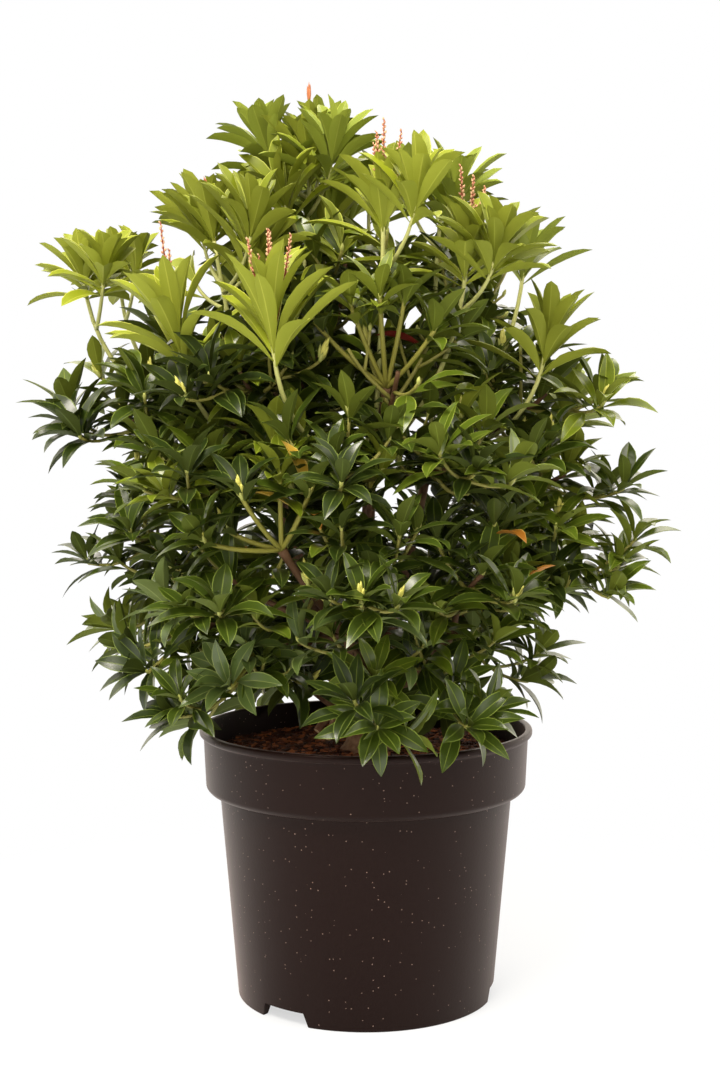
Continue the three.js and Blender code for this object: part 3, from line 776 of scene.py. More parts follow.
def leaf_points(leaves):
    """All points of some leaves, as an array of [leaf, point, xyz]."""
    root = np.array([leaf["root"] for leaf in leaves])
    along = np.array([leaf["along"] for leaf in leaves])
    upper = np.array([leaf["upper"] for leaf in leaves])

    def column_of(key):
        return np.array([leaf[key] for leaf in leaves])[:, None]

    length, width, bend, fold = (column_of(key) for key in ("length", "width", "bend", "fold"))
    wave, phase = column_of("wave"), column_of("phase")
    cross = np.cross(along, upper)
    shares = half_widths(column_of("widest"), column_of("tip_fall"))

    fine = np.linspace(0, 1, BEND_STEPS + 1)[None]
    angle = bend * fine**BEND_POWER
    halfway = (angle[:, 1:] + angle[:, :-1]) / 2
    start = np.zeros((len(leaves), 1))
    out = np.hstack([start, np.cumsum(np.cos(halfway), axis=1)]) * length / BEND_STEPS
    down = np.hstack([start, np.cumsum(np.sin(halfway), axis=1)]) * length / BEND_STEPS
    out, down, angle = out[:, ROW_STEPS], down[:, ROW_STEPS], angle[:, ROW_STEPS]
    place = root[:, None] + along[:, None] * out[..., None] - upper[:, None] * down[..., None]
    normal = upper[:, None] * np.cos(angle)[..., None] + along[:, None] * np.sin(angle)[..., None]
    tip, place, normal = place[:, -1], place[:, :-1], normal[:, :-1]

    rows = STATIONS[None, :-1]
    half = shares * width / 2
    count = len(leaves)
    points = np.zeros((count, LEAF_POINTS, 3))
    top = np.zeros((count, ROWS, len(COLUMNS), 3))
    for c, column in enumerate(COLUMNS):
        side = abs(column)
        height = half * (np.tan(fold) * side - ROLLED_MARGIN * side**3)
        ripple = np.sin(2 * np.pi * (LEAF_RIPPLES * rows + phase))
        height = height + wave * side**2 * ripple * np.sqrt(shares)
        aside = cross[:, None] * (half * column)[..., None]
        top[:, :, c] = place + aside + normal * height[..., None]
    points[:, :TOP_POINTS] = top.reshape(count, -1, 3)
    thick = LEAF_THICKNESS * np.maximum(shares, THINNEST)
    beneath = place - normal * thick[..., None]
    for side in (0, 1):
        shift = cross[:, None] * ((2 * side - 1) * KEEL * half)[..., None]
        points[:, TOP_POINTS + side : LEAF_POINTS - 1 : 2] = beneath + shift
    points[:, -1] = tip
    return points


def leaf_set(whorl, kind, size):
    """A whorl's leaves, lowest first, each as the numbers that leaf_points needs."""
    leaves = []
    form = LEAF_FORM
    axis, keys, line = whorl["axis"], whorl["keys"], whorl["line"]
    first_turn = 360 * chance(*keys, LEAF_DRAW["first_turn"])
    lowest = kind["lowest"] / size if whorl["mass"]["young"] else kind["lowest"]
    for j in range(kind["leaves"]):
        by = {name: most * sway(*keys, j, LEAF_DRAW[name]) for name, most in LEAF_SWAY.items()}
        level = j / (kind["leaves"] - 1)
        angle = lerp(lowest, kind["innermost"], level) + by["open"]
        along = opened(axis, angle, GOLDEN_TURN * j + first_turn + by["turn"])
        upper = (axis - along * axis.dot(along)).normalized()
        upper = Quaternion(along, radians(by["roll"])) @ upper
        lost = form["inner_loss"] * level + form["lowest_loss"] * (1 - level) ** 2
        width = size ** kind["broad"] * kind["width"] * lerp(form["kept_width"], 1, 1 - lost)
        below = size * kind["span"] * (1 - level) ** form["crowding"]
        leaves.append(
            {
                "root": line.point(1 - below / line.length) - along * form["sunk"],
                "along": along,
                "upper": upper,
                "length": size * kind["length"] * (1 - lost) * (1 + by["length"]),
                "width": width * (1 + by["width"]),
                "bend": max(radians(kind["bend"]) * (1 + by["bend"]), form["least_bend"]),
                "fold": radians(kind["fold"] + by["fold"]),
                "wave": by["wave"],
                "phase": chance(*keys, j, LEAF_DRAW["phase"]),
                "widest": kind["widest"] + by["widest"],
                "tip_fall": kind["tip_fall"],
            }
        )
    return leaves


# Meshes.


def piece_of(name, vertices, faces, materials, material_index=None, smooth=True):
    """A new object from points in millimetres."""
    mesh = bpy.data.meshes.new(name)
    mesh.from_pydata((np.asarray(vertices) * MM).tolist(), [], faces)
    for look in materials:
        mesh.materials.append(look)
    if material_index is not None:
        mesh.polygons.foreach_set("material_index", np.asarray(material_index, np.int32))
    mesh.polygons.foreach_set("use_smooth", np.full(len(mesh.polygons), smooth))
    mesh.update()
    made = bpy.data.objects.new(name, mesh)
    bpy.context.scene.collection.objects.link(made)
    return made


def settle(piece, nodes):
    """The piece rides with the plant and stands for these nodes."""
    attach(piece, "root")
    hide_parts(*nodes)
    return piece


def leaves_piece(name, leaves):
    """Some leaves joined into one piece, smooth but for the edges of their margins."""
    vertices = leaf_points(leaves).reshape(-1, 3)
    faces, index, sharp = [], [], []
    for i, leaf in enumerate(leaves):
        base = i * LEAF_POINTS
        faces += [tuple(base + k for k in face) for face in LEAF_FACES]
        first = LEAF_LOOKS * SHADE_NAMES.index(leaf["shade"])
        index += [first + part for part in LEAF_PARTS]
        sharp += [(base + a, base + b) for a, b in LEAF_MARGINS]
    made = piece_of(name, vertices, faces, leaf_looks, index)
    mesh = made.data
    edges = np.zeros(2 * len(mesh.edges), np.int64)
    mesh.edges.foreach_get("vertices", edges)
    edges = np.sort(edges.reshape(-1, 2), axis=1)
    wanted = np.sort(np.array(sharp), axis=1)
    total = len(vertices)
    marked = np.isin(edges[:, 0] * total + edges[:, 1], wanted[:, 0] * total + wanted[:, 1])
    attribute = mesh.attributes.new("sharp_edge", "BOOLEAN", "EDGE")
    attribute.data.foreach_set("value", marked)
    return made


class Collected:
    """Tubes and small solids joined into one piece."""

    def __init__(self):
        self.vertices, self.faces, self.index = [], [], []

    def add(self, vertices, faces, look=0):
        base = len(self.vertices)
        self.vertices += [tuple(v) for v in vertices]
        self.faces += [tuple(base + k for k in face) for face in faces]
        self.index += [look] * len(faces)

    def made(self, name, materials, smooth=True):
        return piece_of(name, self.vertices, self.faces, materials, self.index, smooth)


def ring_faces(first, rings, sides):
    """The faces between the rings of a round shape, from the number of its first ring's point."""
    faces = []
    for r in range(rings - 1):
        for k in range(sides):
            a, b = first + r * sides + k, first + r * sides + (k + 1) % sides
            faces.append((a, b, b + sides, a + sides))
    return faces


def pointed_faces(rings, sides):
    """The faces of a round shape with a point before its first ring and after its last."""
    last = 1 + (rings - 1) * sides
    faces = [(0, 1 + (k + 1) % sides, 1 + k) for k in range(sides)]
    faces += ring_faces(1, rings, sides)
    return faces + [(last + k, last + (k + 1) % sides, last + sides) for k in range(sides)]


def tube(line, radii, sides, relief=None):
    """The points and faces of a tube along a curve, through evenly spaced rings."""
    shares = np.linspace(0, 1, len(radii))
    centres = line.at(shares)
    tangents = np.gradient(centres, axis=0)
    tangents /= np.linalg.norm(tangents, axis=1)[:, None]
    side = Vector(across_of(Vector(tangents[0]))[0])
    vertices = []
    for i, (centre, tangent) in enumerate(zip(centres, tangents)):
        along = Vector(tangent)
        side = (side - along * side.dot(along)).normalized()
        other = along.cross(side)
        for k in range(sides):
            turn = 2 * math.pi * k / sides
            out = side * math.cos(turn) + other * math.sin(turn)
            radius = radii[i]
            if relief:
                radius += relief(Vector(centre), turn, shares[i])
            vertices.append(Vector(centre) + out * radius)
    faces = ring_faces(0, len(radii), sides)
    last = (len(radii) - 1) * sides
    faces.append(tuple(range(sides - 1, -1, -1)))
    faces.append(tuple(last + k for k in range(sides)))
    return vertices, faces


SPINDLE = {"rings": (0.25, 0.55, 0.82), "fullness": (0.8, 1, 0.6)}


def spindle(foot, along, length, radius, sides=6):
    """A small pointed bud."""
    side, other = across_of(along)
    vertices = [foot]
    for ring, full in zip(SPINDLE["rings"], SPINDLE["fullness"]):
        for k in range(sides):
            turn = 2 * math.pi * k / sides
            out = side * math.cos(turn) + other * math.sin(turn)
            vertices.append(foot + along * (ring * length) + out * (radius * full))
    vertices.append(foot + along * length)
    return vertices, pointed_faces(len(SPINDLE["rings"]), sides)


# The crown.

# Sprays inside this reach from the axis and below this height are dealt the deepest shade, as
# painted shade in the crown's middle.
INNER_PAINTED_SHADE = {"reach": 105, "height": 500}
TOP_LEVEL = 650
# Young sprays right of this are dealt the darker, greyer olive as painted shade on the side away
# from the key light; above TOP_LEVEL the olive is the top shoots' own greyer green.
RIGHT_SIDE_PAINTED_SHADE = 90
YOUNG_SHARES = {"olive": 0.75, "lime": 0.7}  # at the top and on the right, and elsewhere
CROWN = {"foot": 230, "depth": 420, "mixed": 0.16}
# What the older sprays are dealt up to each level of the crown, each shade up to a share of them.
# Darker shades go lower down, in part as the leaves' own colour and in part as painted shade low in
# the crown.
OLD_SHADES = [
    (0.2, [(0.22, "sage"), (0.34, "mid"), (0.7, "dark"), (1, "deep")]),
    (0.4, [(0.36, "deep"), (0.72, "dark"), (1, "mid")]),
    (0.76, [(0.2, "deep"), (0.52, "dark"), (0.9, "mid"), (1, "fresh")]),
    (0.94, [(0.5, "dark"), (0.85, "mid"), (1, "fresh")]),
    (math.inf, [(0.3, "mid"), (0.8, "fresh"), (1, "light")]),
]
FEWEST_LEAVES = 2


def shade_of(whorl):
    """The shade dealt to a spray, by its place and by chance."""
    tip = whorl["tip"]
    draw = chance(*whorl["keys"], LEAF_DRAW["shade"])
    if whorl["mass"]["young"]:
        # The olive on the right is painted shade; at the top it is the top shoots' own colour.
        if tip.z > TOP_LEVEL or tip.x > RIGHT_SIDE_PAINTED_SHADE:
            return "olive" if draw < YOUNG_SHARES["olive"] else "light"
        return "lime" if draw < YOUNG_SHARES["lime"] else "light"
    # Painted shade: sprays deep inside the lower crown are all dealt the deepest shade.
    if math.hypot(tip.x, tip.y) < INNER_PAINTED_SHADE["reach"] and tip.z < INNER_PAINTED_SHADE["height"]:
        return "deep"
    level = (tip.z - CROWN["foot"]) / CROWN["depth"] + CROWN["mixed"] * (draw - 0.5)
    dealt = next(shades for top, shades in OLD_SHADES if level < top)
    return next(shade for share, shade in dealt if draw < share)


def stays(shape, whorl):
    """Whether a leaf clears the pot, its mass's neighbours, the bare forks and the sky's gaps."""
    mass = whorl["mass"]
    on_fan = "fan" in mass
    if in_pot(shape, POT_ROOM["leaf"]):
        return False
    if not on_fan and past_borders(shape, mass["borders"]) > OVERREACH["leaf"]:
        return False
    return not (in_window(shape, FAN["own"] if on_fan else FAN["shown"]) or in_sky_gap(shape))


whorls, twigs = grow()
tiers = {}
leafy = set()  # the keys of every twig and stem that bears leaves, here or further out
for whorl in whorls:
    mass = whorl["mass"]
    kind = YOUNG_WHORL if mass["young"] else OLD_WHORL
    size = mass["size"]
    if not mass["young"]:
        varied = 1 + SPRAY_SWAY * sway(*whorl["keys"], LEAF_DRAW["size"])
        size = LEAF_SIZES[mass["tier"]] * varied
    leaves = leaf_set(whorl, kind, size)
    kept = [leaf for leaf, shape in zip(leaves, leaf_points(leaves)) if stays(shape, whorl)]
    for leaf in kept:
        leaf["shade"] = shade_of(whorl)
    tiers.setdefault(mass["tier"], []).extend(kept)
    whorl["leafy"] = len(kept) >= FEWEST_LEAVES
    if whorl["leafy"]:
        leafy.update(whorl["keys"][:length] for length in range(2, len(whorl["keys"]) + 1))

# Old leaves turned yellow, orange or red: heading, reach and height of their middle, and shade.
TURNED_LEAVES = [
    (-15, 192, 408, "orange"),
    (-16, 198, 446, "yellow"),
    (-22, 190, 430, "yellow"),
    (38, 184, 396, "orange"),
    (52, 190, 366, "orange"),
    (9, 137, 530, "red"),
    (150, 186, 400, "yellow"),
    (-128, 190, 372, "orange"),
]
old_leaves = [leaf for tier in tiers if tier != "young" for leaf in tiers[tier]]


def middle_of(leaf):
    return leaf["root"] + leaf["along"] * (leaf["length"] / 2)


for heading, reach, height, shade in TURNED_LEAVES:
    spot = place_at(heading, reach, height)
    nearest = min(old_leaves, key=lambda leaf: (middle_of(leaf) - spot).length)
    nearest["shade"] = shade

nodes_of = {tier: [m["name"] for m in masses if m["tier"] == tier] for tier in tiers}
for tier, leaves in tiers.items():
    settle(leaves_piece(f"leaves_{tier}", leaves), nodes_of[tier])

# Twigs and stems.

old_bark = material("old_twig_bark", (0.105, 0.055, 0.028), 0.7, (700, 4, 0.4, 0.0006), 0.3)
green_bark = material("green_twig_bark", (0.21, 0.20, 0.045), 0.5, (700, 3, 0.25, 0.0004), 0.4)
olive_bark = material("bare_fork_bark", (0.21, 0.20, 0.036), 0.5, (700, 3, 0.25, 0.0004), 0.35)
lime_bark = material("young_stem_bark", (0.40, 0.41, 0.14), 0.45, (700, 3, 0.2, 0.0004), 0.4)

# Each kind of stem or twig: its radius at its foot and at its end, its rings and its sides.
STEMS = {
    "old": (2.9, 1.8, 12, 8),
    "young": (2.3, 1.6, 14, 8),
    "fan": (FAN["radius"], 1.7, 10, 8),
    "twig": (1.9, 1.3, 7, 6),
    "finest_twig": (1.5, 1.3, 7, 6),
}


def stem(line, kind):
    """A tapering tube along a line."""
    foot_radius, end_radius, rings, sides = STEMS[kind]
    radii = [lerp(foot_radius, end_radius, i / (rings - 1)) for i in range(rings)]
    return tube(line, radii, sides)


old_wood = Collected()
young_wood = Collected()
for mass in masses:
    if mass["young"]:
        young_wood.add(*stem(mass["stem"], "young"), 1)
    else:
        old_wood.add(*stem(mass["stem"], "old"), 0)
for twig in twigs:
    if twig["keys"] not in leafy:
        continue
    wood = young_wood if twig["mass"]["young"] else old_wood
    wood.add(*stem(twig["line"], "twig" if twig["level"] == 1 else "finest_twig"), 1)
old_nodes = [m["name"] for m in masses if not m["young"]]
young_nodes = [m["name"] for m in masses if m["young"]]
for spray, lines in zip(sprays, spray_lines):
    node = place_at(*spray["node"])
    start = knot_of(nearest_bough(node))
    branch = Curve(start, start.lerp(node, 0.5) - UP * FAN["branch_sag"], node)
    radii = [FAN["branch_radius"]] * 9 + [FAN["node"] * FAN["branch_radius"]]
    old_wood.add(*tube(branch, radii, 8), 0)
    for line in lines:
        old_wood.add(*stem(line, "fan"), 2)
settle(old_wood.made("twigs", [old_bark, green_bark, olive_bark]), old_nodes)
settle(young_wood.made("young_stems", [green_bark, lime_bark]), young_nodes)

# Trunk and boughs.

bark = material(
    "bark",
    (0.105, 0.050, 0.028),
    0.85,
    (260, 8, 0.8, 0.0012),
    0.3,
    mottle=((0.25, 0.15, 0.085), 90, 0.42, 0.66),
)


SUNK = 3  # how far the trunk goes on into the soil
ROUNDED_END = {"trunk": 0.8, "bough": 0.7}  # how wide the last ring is, as a share
KNOT_FULL = 0.9  # the share of the solid knot's radius that shows
BARK_DEPTH = {"trunk": 1.1, "bough": 0.5, "stub": 0.2}
BARK_RIDGES = {"round": 3.2, "along": 0.045, "fractal": (0.8, 2.2, 4)}


def bark_relief(depth):
    """How far the bark stands out or in, by the place on a limb."""

    def relief(centre, turn, share):
        place = Vector((math.cos(turn), math.sin(turn), 0)) * BARK_RIDGES["round"]
        place.z = centre.z * BARK_RIDGES["along"]
        return depth * noise.fractal(place, *BARK_RIDGES["fractal"])

    return relief


def trunk_radii(line, rings):
    """From a little below the soil, over the root flare, to the rounded top."""
    radii = []
    for i in range(rings):
        above = max(0, i / (rings - 1) * line.length - SUNK) / TRUNK["flare_height"]
        flare = (TRUNK["flare_radius"] - TRUNK["radius"]) * math.exp(-TRUNK["flare_fall"] * above)
        radii.append(TRUNK["radius"] + flare)
    radii[-1] *= ROUNDED_END["trunk"]
    return radii


def bough_radii(line):
    """Tapering to the knot at the bough's end, whose end is rounded."""
    rings = max(16, int(line.length / 6))
    knot_share = 1 - BOUGH["knot_length"] / line.length
    radii = []
    for share in (i / (rings - 1) for i in range(rings)):
        radius = lerp(BOUGH["foot_radius"], BOUGH["tip_radius"], min(share / knot_share, 1))
        radii.append(BOUGH["knot_radius"] * KNOT_FULL if share > knot_share else radius)
    radii[-1] *= ROUNDED_END["bough"]
    return radii


limbs = Collected()
trunk_line = Curve(trunk_foot - UP * SUNK, (trunk_foot + trunk_top) / 2, trunk_top)
trunk_relief = bark_relief(BARK_DEPTH["trunk"])
limbs.add(*tube(trunk_line, trunk_radii(trunk_line, 26), 36, trunk_relief))
for line in bough_lines.values():
    limbs.add(*tube(line, bough_radii(line), 16, bark_relief(BARK_DEPTH["bough"])))

# Stubs of pruned shoots at the trunk's foot: heading, reach and height of foot and end, and radius.
STUBS = [
    ((-20, 8, 244), (-44, 46, 240), 3.4),
    ((-42, 40, 241), (-46, 56, 228), 3.2),
    ((-36, 44, 240), (-34, 56, 222), 2.2),
    ((30, 8, 240), (24, 40, 232), 3),
]
STUB_TAPER = (1.15, 1.05, 1, 1, 0.96)
STUB_BOW = 3
CUT_FACE = {"radius": 0.86, "stands_out": 0.3}  # a share of the stub's radius, and a length
for foot, end, radius in STUBS:
    a, b = place_at(*foot), place_at(*end)
    line = Curve(a, (a + b) / 2 + UP * STUB_BOW, b)
    radii = [radius * share for share in STUB_TAPER]
    limbs.add(*tube(line, radii, 12, bark_relief(BARK_DEPTH["stub"])))
    along = (b - a).normalized()
    cut_face = Curve(b - along, b, b + along * CUT_FACE["stands_out"])
    limbs.add(*tube(cut_face, [radius * CUT_FACE["radius"]] * 3, 12), 1)
pale_wood = material("cut_wood", (0.52, 0.36, 0.20), 0.8, (300, 5, 0.5, 0.0005), 0.2)
settle(limbs.made("trunk_and_boughs", [bark, pale_wood]), ["trunk", *BOUGHS])

# Pot.

POT_FACETS = 144
BOX_FACES = [(0, 1, 3, 2), (4, 6, 7, 5), (0, 4, 5, 1), (2, 3, 7, 6), (0, 2, 6, 4), (1, 5, 7, 3)]


def lathe(profile, facets):
    """The points and faces of a body of revolution, from the axis back to the axis."""
    vertices = [Vector((0, 0, profile[0][1]))]
    for radius, height in profile[1:-1]:
        for k in range(facets):
            turn = 2 * math.pi * k / facets
            vertices.append(Vector((radius * math.cos(turn), radius * math.sin(turn), height)))
    vertices.append(Vector((0, 0, profile[-1][1])))
    return vertices, pointed_faces(len(profile) - 2, facets)


def rounded(corners):
    """A profile whose corners, given as (radius, height, rounding), are rounded off."""
    points = []
    for i, (radius, height, rounding) in enumerate(corners):
        if rounding == 0 or i in (0, len(corners) - 1):
            points.append((radius, height))
            continue
        here = Vector((radius, height))
        before = Vector(corners[i - 1][:2])
        after = Vector(corners[i + 1][:2])
        start = here + (before - here).normalized() * rounding
        end = here + (after - here).normalized() * rounding
        for share in (0, 0.25, 0.5, 0.75, 1):
            point = start.lerp(here, share).lerp(here.lerp(end, share), share)
            points.append((point.x, point.y))
    return points


def pot_profile():
    """The pot's own outline from the middle of its underside, out, up and back down inside."""
    collar_foot = POT["height"] - POT["collar_height"]
    lip_foot = POT["height"] - POT["rim_depth"]
    floor_top = POT["foot_height"] + POT["floor"]
    foot = POT["foot_radius"]
    wall = POT["wall"]
    return rounded(
        [
            (0, 0, 0),
            (POT["pad_radius"], 0, 1),
            (POT["pad_radius"] + POT["draft"], POT["foot_height"], 1),
            (foot - POT["foot_width"] - POT["draft"], POT["foot_height"], 1),
            (foot - POT["foot_width"], 0, 1),
            (foot, 0, 1.2),
            (lerp(foot, POT["shoulder_radius"], 0.5), collar_foot / 2, 0),
            (POT["shoulder_radius"], collar_foot - 1, 1),
            (POT["collar_foot_radius"] - 3, collar_foot, 1.2),
            (POT["collar_foot_radius"], collar_foot + 3, 2),
            (POT["collar_radius"], lip_foot, 1),
            (POT["rim_radius"], lip_foot + 2, 1.6),
            (POT["rim_radius"], POT["height"], 2.2),
            (POT["collar_radius"] - wall, POT["height"], 2.2),
            (POT["collar_foot_radius"] - wall, collar_foot + 1.5 * wall, 1.5),
            (POT["shoulder_radius"] - wall, collar_foot + wall, 1.5),
            (foot + POT["floor"] / 2 - wall, floor_top, 1.5),
            (0, floor_top, 0),
        ]
    )


def notch_at(turn):
    """The block that a drainage notch is cut with, wider towards the ground."""
    height = POT["foot_height"] - NOTCH["roof"]
    vertices = []
    for side in (-1, 1):
        for y in (-0.5, 0.5):
            for end in (-1, 1):
                x = side * (NOTCH["width"] / 2 + NOTCH["flare"] * (1 - end))
                point = Vector((x, y * NOTCH["depth"] - POT["foot_radius"], end * height))
                point.rotate(Quaternion(UP, radians(turn)))
                vertices.append(point)
    return vertices, BOX_FACES


# The specks of dust: cells to a metre, the share of them that has one, and its share of its cell.
SPECKS = {"scale": 230, "share": 0.42, "radius": 0.11}


def pot_material():
    """Black-brown plastic with sparse pale specks of dust."""
    base, dust = (0.0038, 0.0008, 0.0005), (0.16, 0.11, 0.09)
    made = material("pot_plastic", base, 0.42, (420, 5, 0.1, 0.0006), 0.17)
    tree = made.node_tree
    shader = tree.nodes["Principled BSDF"]
    sheen = {"Sheen Weight": 0.1, "Sheen Roughness": 0.4, "Sheen Tint": (1, 0.66, 0.58, 1)}
    set_inputs(shader, {"Specular Tint": (1, 0.78, 0.72, 1), **sheen})
    place = added(tree, "ShaderNodeTexCoord")
    cells = added(tree, "ShaderNodeTexVoronoi", {"Scale": SPECKS["scale"]})
    pick = added(tree, "ShaderNodeSeparateColor")
    chosen = added(tree, "ShaderNodeMath", {1: SPECKS["share"]}, "LESS_THAN")
    near = added(tree, "ShaderNodeMath", {1: SPECKS["radius"]}, "LESS_THAN")
    both = added(tree, "ShaderNodeMath", operation="MULTIPLY")
    blend = added(tree, "ShaderNodeValToRGB")
    blend.color_ramp.elements[0].color = (*base, 1)
    blend.color_ramp.elements[1].color = (*dust, 1)
    wire(
        tree,
        (place, "Object", cells, "Vector"),
        (cells, "Color", pick, "Color"),
        (pick, "Red", chosen, 0),
        (cells, "Distance", near, 0),
        (chosen, "Value", both, 0),
        (near, "Value", both, 1),
        (both, "Value", blend, "Fac"),
        (blend, "Color", shader, "Base Color"),
    )
    return made


pot_shape = Collected()
pot_shape.add(*lathe(pot_profile(), POT_FACETS))
pot_piece = pot_shape.made("nursery_pot", [pot_material()])
cutters = Collected()
for i in range(NOTCH["count"]):
    cutters.add(*notch_at(NOTCH["heading"] + 360 * i / NOTCH["count"]))
for i in range(DRAIN["count"]):
    centre = place_at(360 * i / DRAIN["count"], DRAIN["ring"], 0)
    low, high = (centre + UP * height for height in DRAIN["cut"])
    cutters.add(*tube(Curve(low, (low + high) / 2, high), [DRAIN["radius"]] * 3, 20))
cutter = cutters.made("pot_cutters", [])
cut = pot_piece.modifiers.new("cut", "BOOLEAN")
cut.object = cutter
cut.operation = "DIFFERENCE"
cut.solver = "EXACT"
evaluated = pot_piece.evaluated_get(bpy.context.evaluated_depsgraph_get())
shaped = bpy.data.meshes.new_from_object(evaluated)
pot_piece.modifiers.clear()
pot_piece.data = shaped
bpy.data.objects.remove(cutter)
shaped.polygons.foreach_set("use_smooth", np.full(len(shaped.polygons), True))
shaped.set_sharp_from_angle(angle=radians(38))
settle(pot_piece, ["pot"])

# Soil.

peat = material(
    "peat",
    (0.022, 0.009, 0.006),
    0.95,
    (500, 8, 1.0, 0.002),
    0.2,
    mottle=((0.060, 0.022, 0.012), 160, 0.4, 0.65),
)
CHIP_COLOURS = (
    (0.055, 0.018, 0.009),
    (0.105, 0.034, 0.016),
    (0.030, 0.012, 0.008),
    (0.24, 0.075, 0.026),
)
chip_looks = [
    material(f"bark_chip_{i + 1}", color, 0.85, (420, 6, 0.7, 0.001), 0.25)
    for i, color in enumerate(CHIP_COLOURS)
]
POT_GAP = 0.3
SOIL_RELIEF = {"depth": 2.2, "scale": 0.06, "fractal": (0.7, 2.1, 4)}


def soil_mesh():
    """A body that fills the pot just clear of its wall, uneven on top."""
    facets, steps = 96, 30
    inset = POT["wall"] + POT_GAP
    edge = POT["collar_foot_radius"] - inset
    collar_foot = POT["height"] - POT["collar_height"]
    floor_top = POT["foot_height"] + POT["floor"] + POT_GAP
    side = [
        (0, floor_top),
        (POT["foot_radius"] + POT["floor"] / 2 - inset - POT_GAP, floor_top),
        (POT["shoulder_radius"] - inset, collar_foot + 1.5 * POT["wall"]),
        (edge, collar_foot + 2 * POT["wall"]),
        (edge, SOIL["edge_level"]),
    ]
    for i in range(1, steps):
        share = i / steps
        side.append((edge * (1 - share), lerp(SOIL["edge_level"], SOIL["level"] - 1, share)))
    side.append((0, SOIL["level"] - 1))
    vertices, faces = lathe(side, facets)
    for v in vertices:
        on_top = v.z > SOIL["edge_level"] - 1 and math.hypot(v.x, v.y) < edge - 1
        if on_top:
            place = Vector((v.x, v.y, 0)) * SOIL_RELIEF["scale"]
            v.z += SOIL_RELIEF["depth"] * noise.fractal(place, *SOIL_RELIEF["fractal"])
    return vertices, faces


soil_shape = Collected()
soil_shape.add(*soil_mesh())
settle(soil_shape.made("potting_soil", [peat]), ["soil"])

# Chips of bark: how many, the first keys of their draws and of their corners', how far out their
# middles and their ends lie, the soil's own reach, their least and largest sizes, how far they lean
# and tilt, how ragged their corners are and how high they heap up.
CHIPS = {
    "count": 2600, "key": 70, "corner_key": 20, "reach": 129, "furthest": 131, "soil_reach": 132,
    "length": (5, 17), "width": (2, 5.2), "thickness": (0.9, 2.1), "lean": 26, "tilt": 18,
    "ragged": 0.45, "heap": 1.6,
}


def chip(i):
    """One ragged chip of bark that lies on the soil, or nothing where the trunk stands."""

    def draw(*keys):
        return chance(CHIPS["key"], i, *keys)

    def swayed(key):
        return sway(CHIPS["key"], i, key)

    reach = CHIPS["reach"] * math.sqrt(draw(0))
    length = lerp(*CHIPS["length"], draw(2) ** 2)
    width = lerp(*CHIPS["width"], draw(3))
    thick = lerp(*CHIPS["thickness"], draw(4))
    if reach < TRUNK["flare_radius"] - 3:
        return None
    reach = min(reach, CHIPS["furthest"] - length / 2)
    level = lerp(SOIL["level"], SOIL["edge_level"], reach / CHIPS["soil_reach"])
    centre = place_at(360 * draw(1), reach, level + CHIPS["heap"] * draw(5))
    turn = Quaternion(UP, 2 * math.pi * draw(6))
    lean = Quaternion(Vector((1, 0, 0)), radians(CHIPS["lean"] * swayed(7)))
    tilt = Quaternion(Vector((0, 1, 0)), radians(CHIPS["tilt"] * swayed(8)))
    halves = (-0.5, 0.5)
    corners = [(x, y, z) for x in halves for y in halves for z in halves]
    vertices = []
    for corner, (x, y, z) in enumerate(corners):
        ragged = 1 - CHIPS["ragged"] * draw(CHIPS["corner_key"] + corner)
        point = Vector((x * length * ragged, y * width * ragged, z * thick))
        point.rotate(turn @ tilt @ lean)
        vertices.append(point + centre)
    return vertices, BOX_FACES, int(len(CHIP_COLOURS) * draw(9))


chips = Collected()
for i in range(CHIPS["count"]):
    shape = chip(i)
    if shape:
        chips.add(*shape)
chip_piece = chips.made("bark_chips", chip_looks, smooth=False)
settle(chip_piece, ["soil"])

# Buds and racemes.

bud_green = material("bud_green", (0.34, 0.36, 0.09), 0.5, (800, 2, 0.2, 0.0003))
bud_lime = material("bud_lime", (0.52, 0.50, 0.11), 0.5, (800, 2, 0.2, 0.0003))
bud_peach = material("flower_bud_peach", (0.58, 0.35, 0.20), 0.55, (900, 2, 0.2, 0.0003), 0.3)
bud_copper = material("flower_bud_copper", (0.48, 0.22, 0.125), 0.55, (900, 2, 0.2, 0.0003), 0.3)
stalk_red = material("flower_stalk", (0.20, 0.040, 0.025), 0.5, (900, 2, 0.2, 0.0003), 0.3)
bract_red = material("bract_red", (0.36, 0.12, 0.045), 0.5, (900, 2, 0.2, 0.0003), 0.3)

BUD = {"length": 8, "radius": 1.8}
BUD_TUFT = {
    "share": 0.3, "leaves": 7, "length": 17, "radius": 1.9, "open": (24, 3), "foot": (-2, 3),
    "outer_length": 0.6, "sway_length": 0.15, "green_up_to": 0.4,
}
TUFT_DRAW = {"chosen": 50, "length": 51}


def bud_tuft(buds, tip, axis, keys):
    """The first small leaves of a new shoot, the outer ones shorter and greener."""
    for k in range(BUD_TUFT["leaves"]):
        level = k / (BUD_TUFT["leaves"] - 1)
        along = opened(axis, lerp(*BUD_TUFT["open"], level), GOLDEN_TURN * k)
        varied = 1 + BUD_TUFT["sway_length"] * sway(*keys, TUFT_DRAW["length"], k)
        length = lerp(BUD_TUFT["outer_length"], 1, level) * BUD_TUFT["length"] * varied
        foot = tip + axis * lerp(*BUD_TUFT["foot"], level)
        look = 1 if level > BUD_TUFT["green_up_to"] else 0
        buds.add(*spindle(foot, along, length, BUD_TUFT["radius"]), look)


buds = Collected()
for whorl in whorls:
    if whorl["mass"]["young"] or not whorl["leafy"]:
        continue
    tip, axis, keys = whorl["tip"], whorl["axis"], whorl["keys"]
    if chance(*keys, TUFT_DRAW["chosen"]) > BUD_TUFT["share"]:
        buds.add(*spindle(tip - axis * 2, axis, BUD["length"], BUD["radius"]))
    else:
        bud_tuft(buds, tip, axis, keys)
settle(buds.made("leaf_buds", [bud_green, bud_lime]), old_nodes)

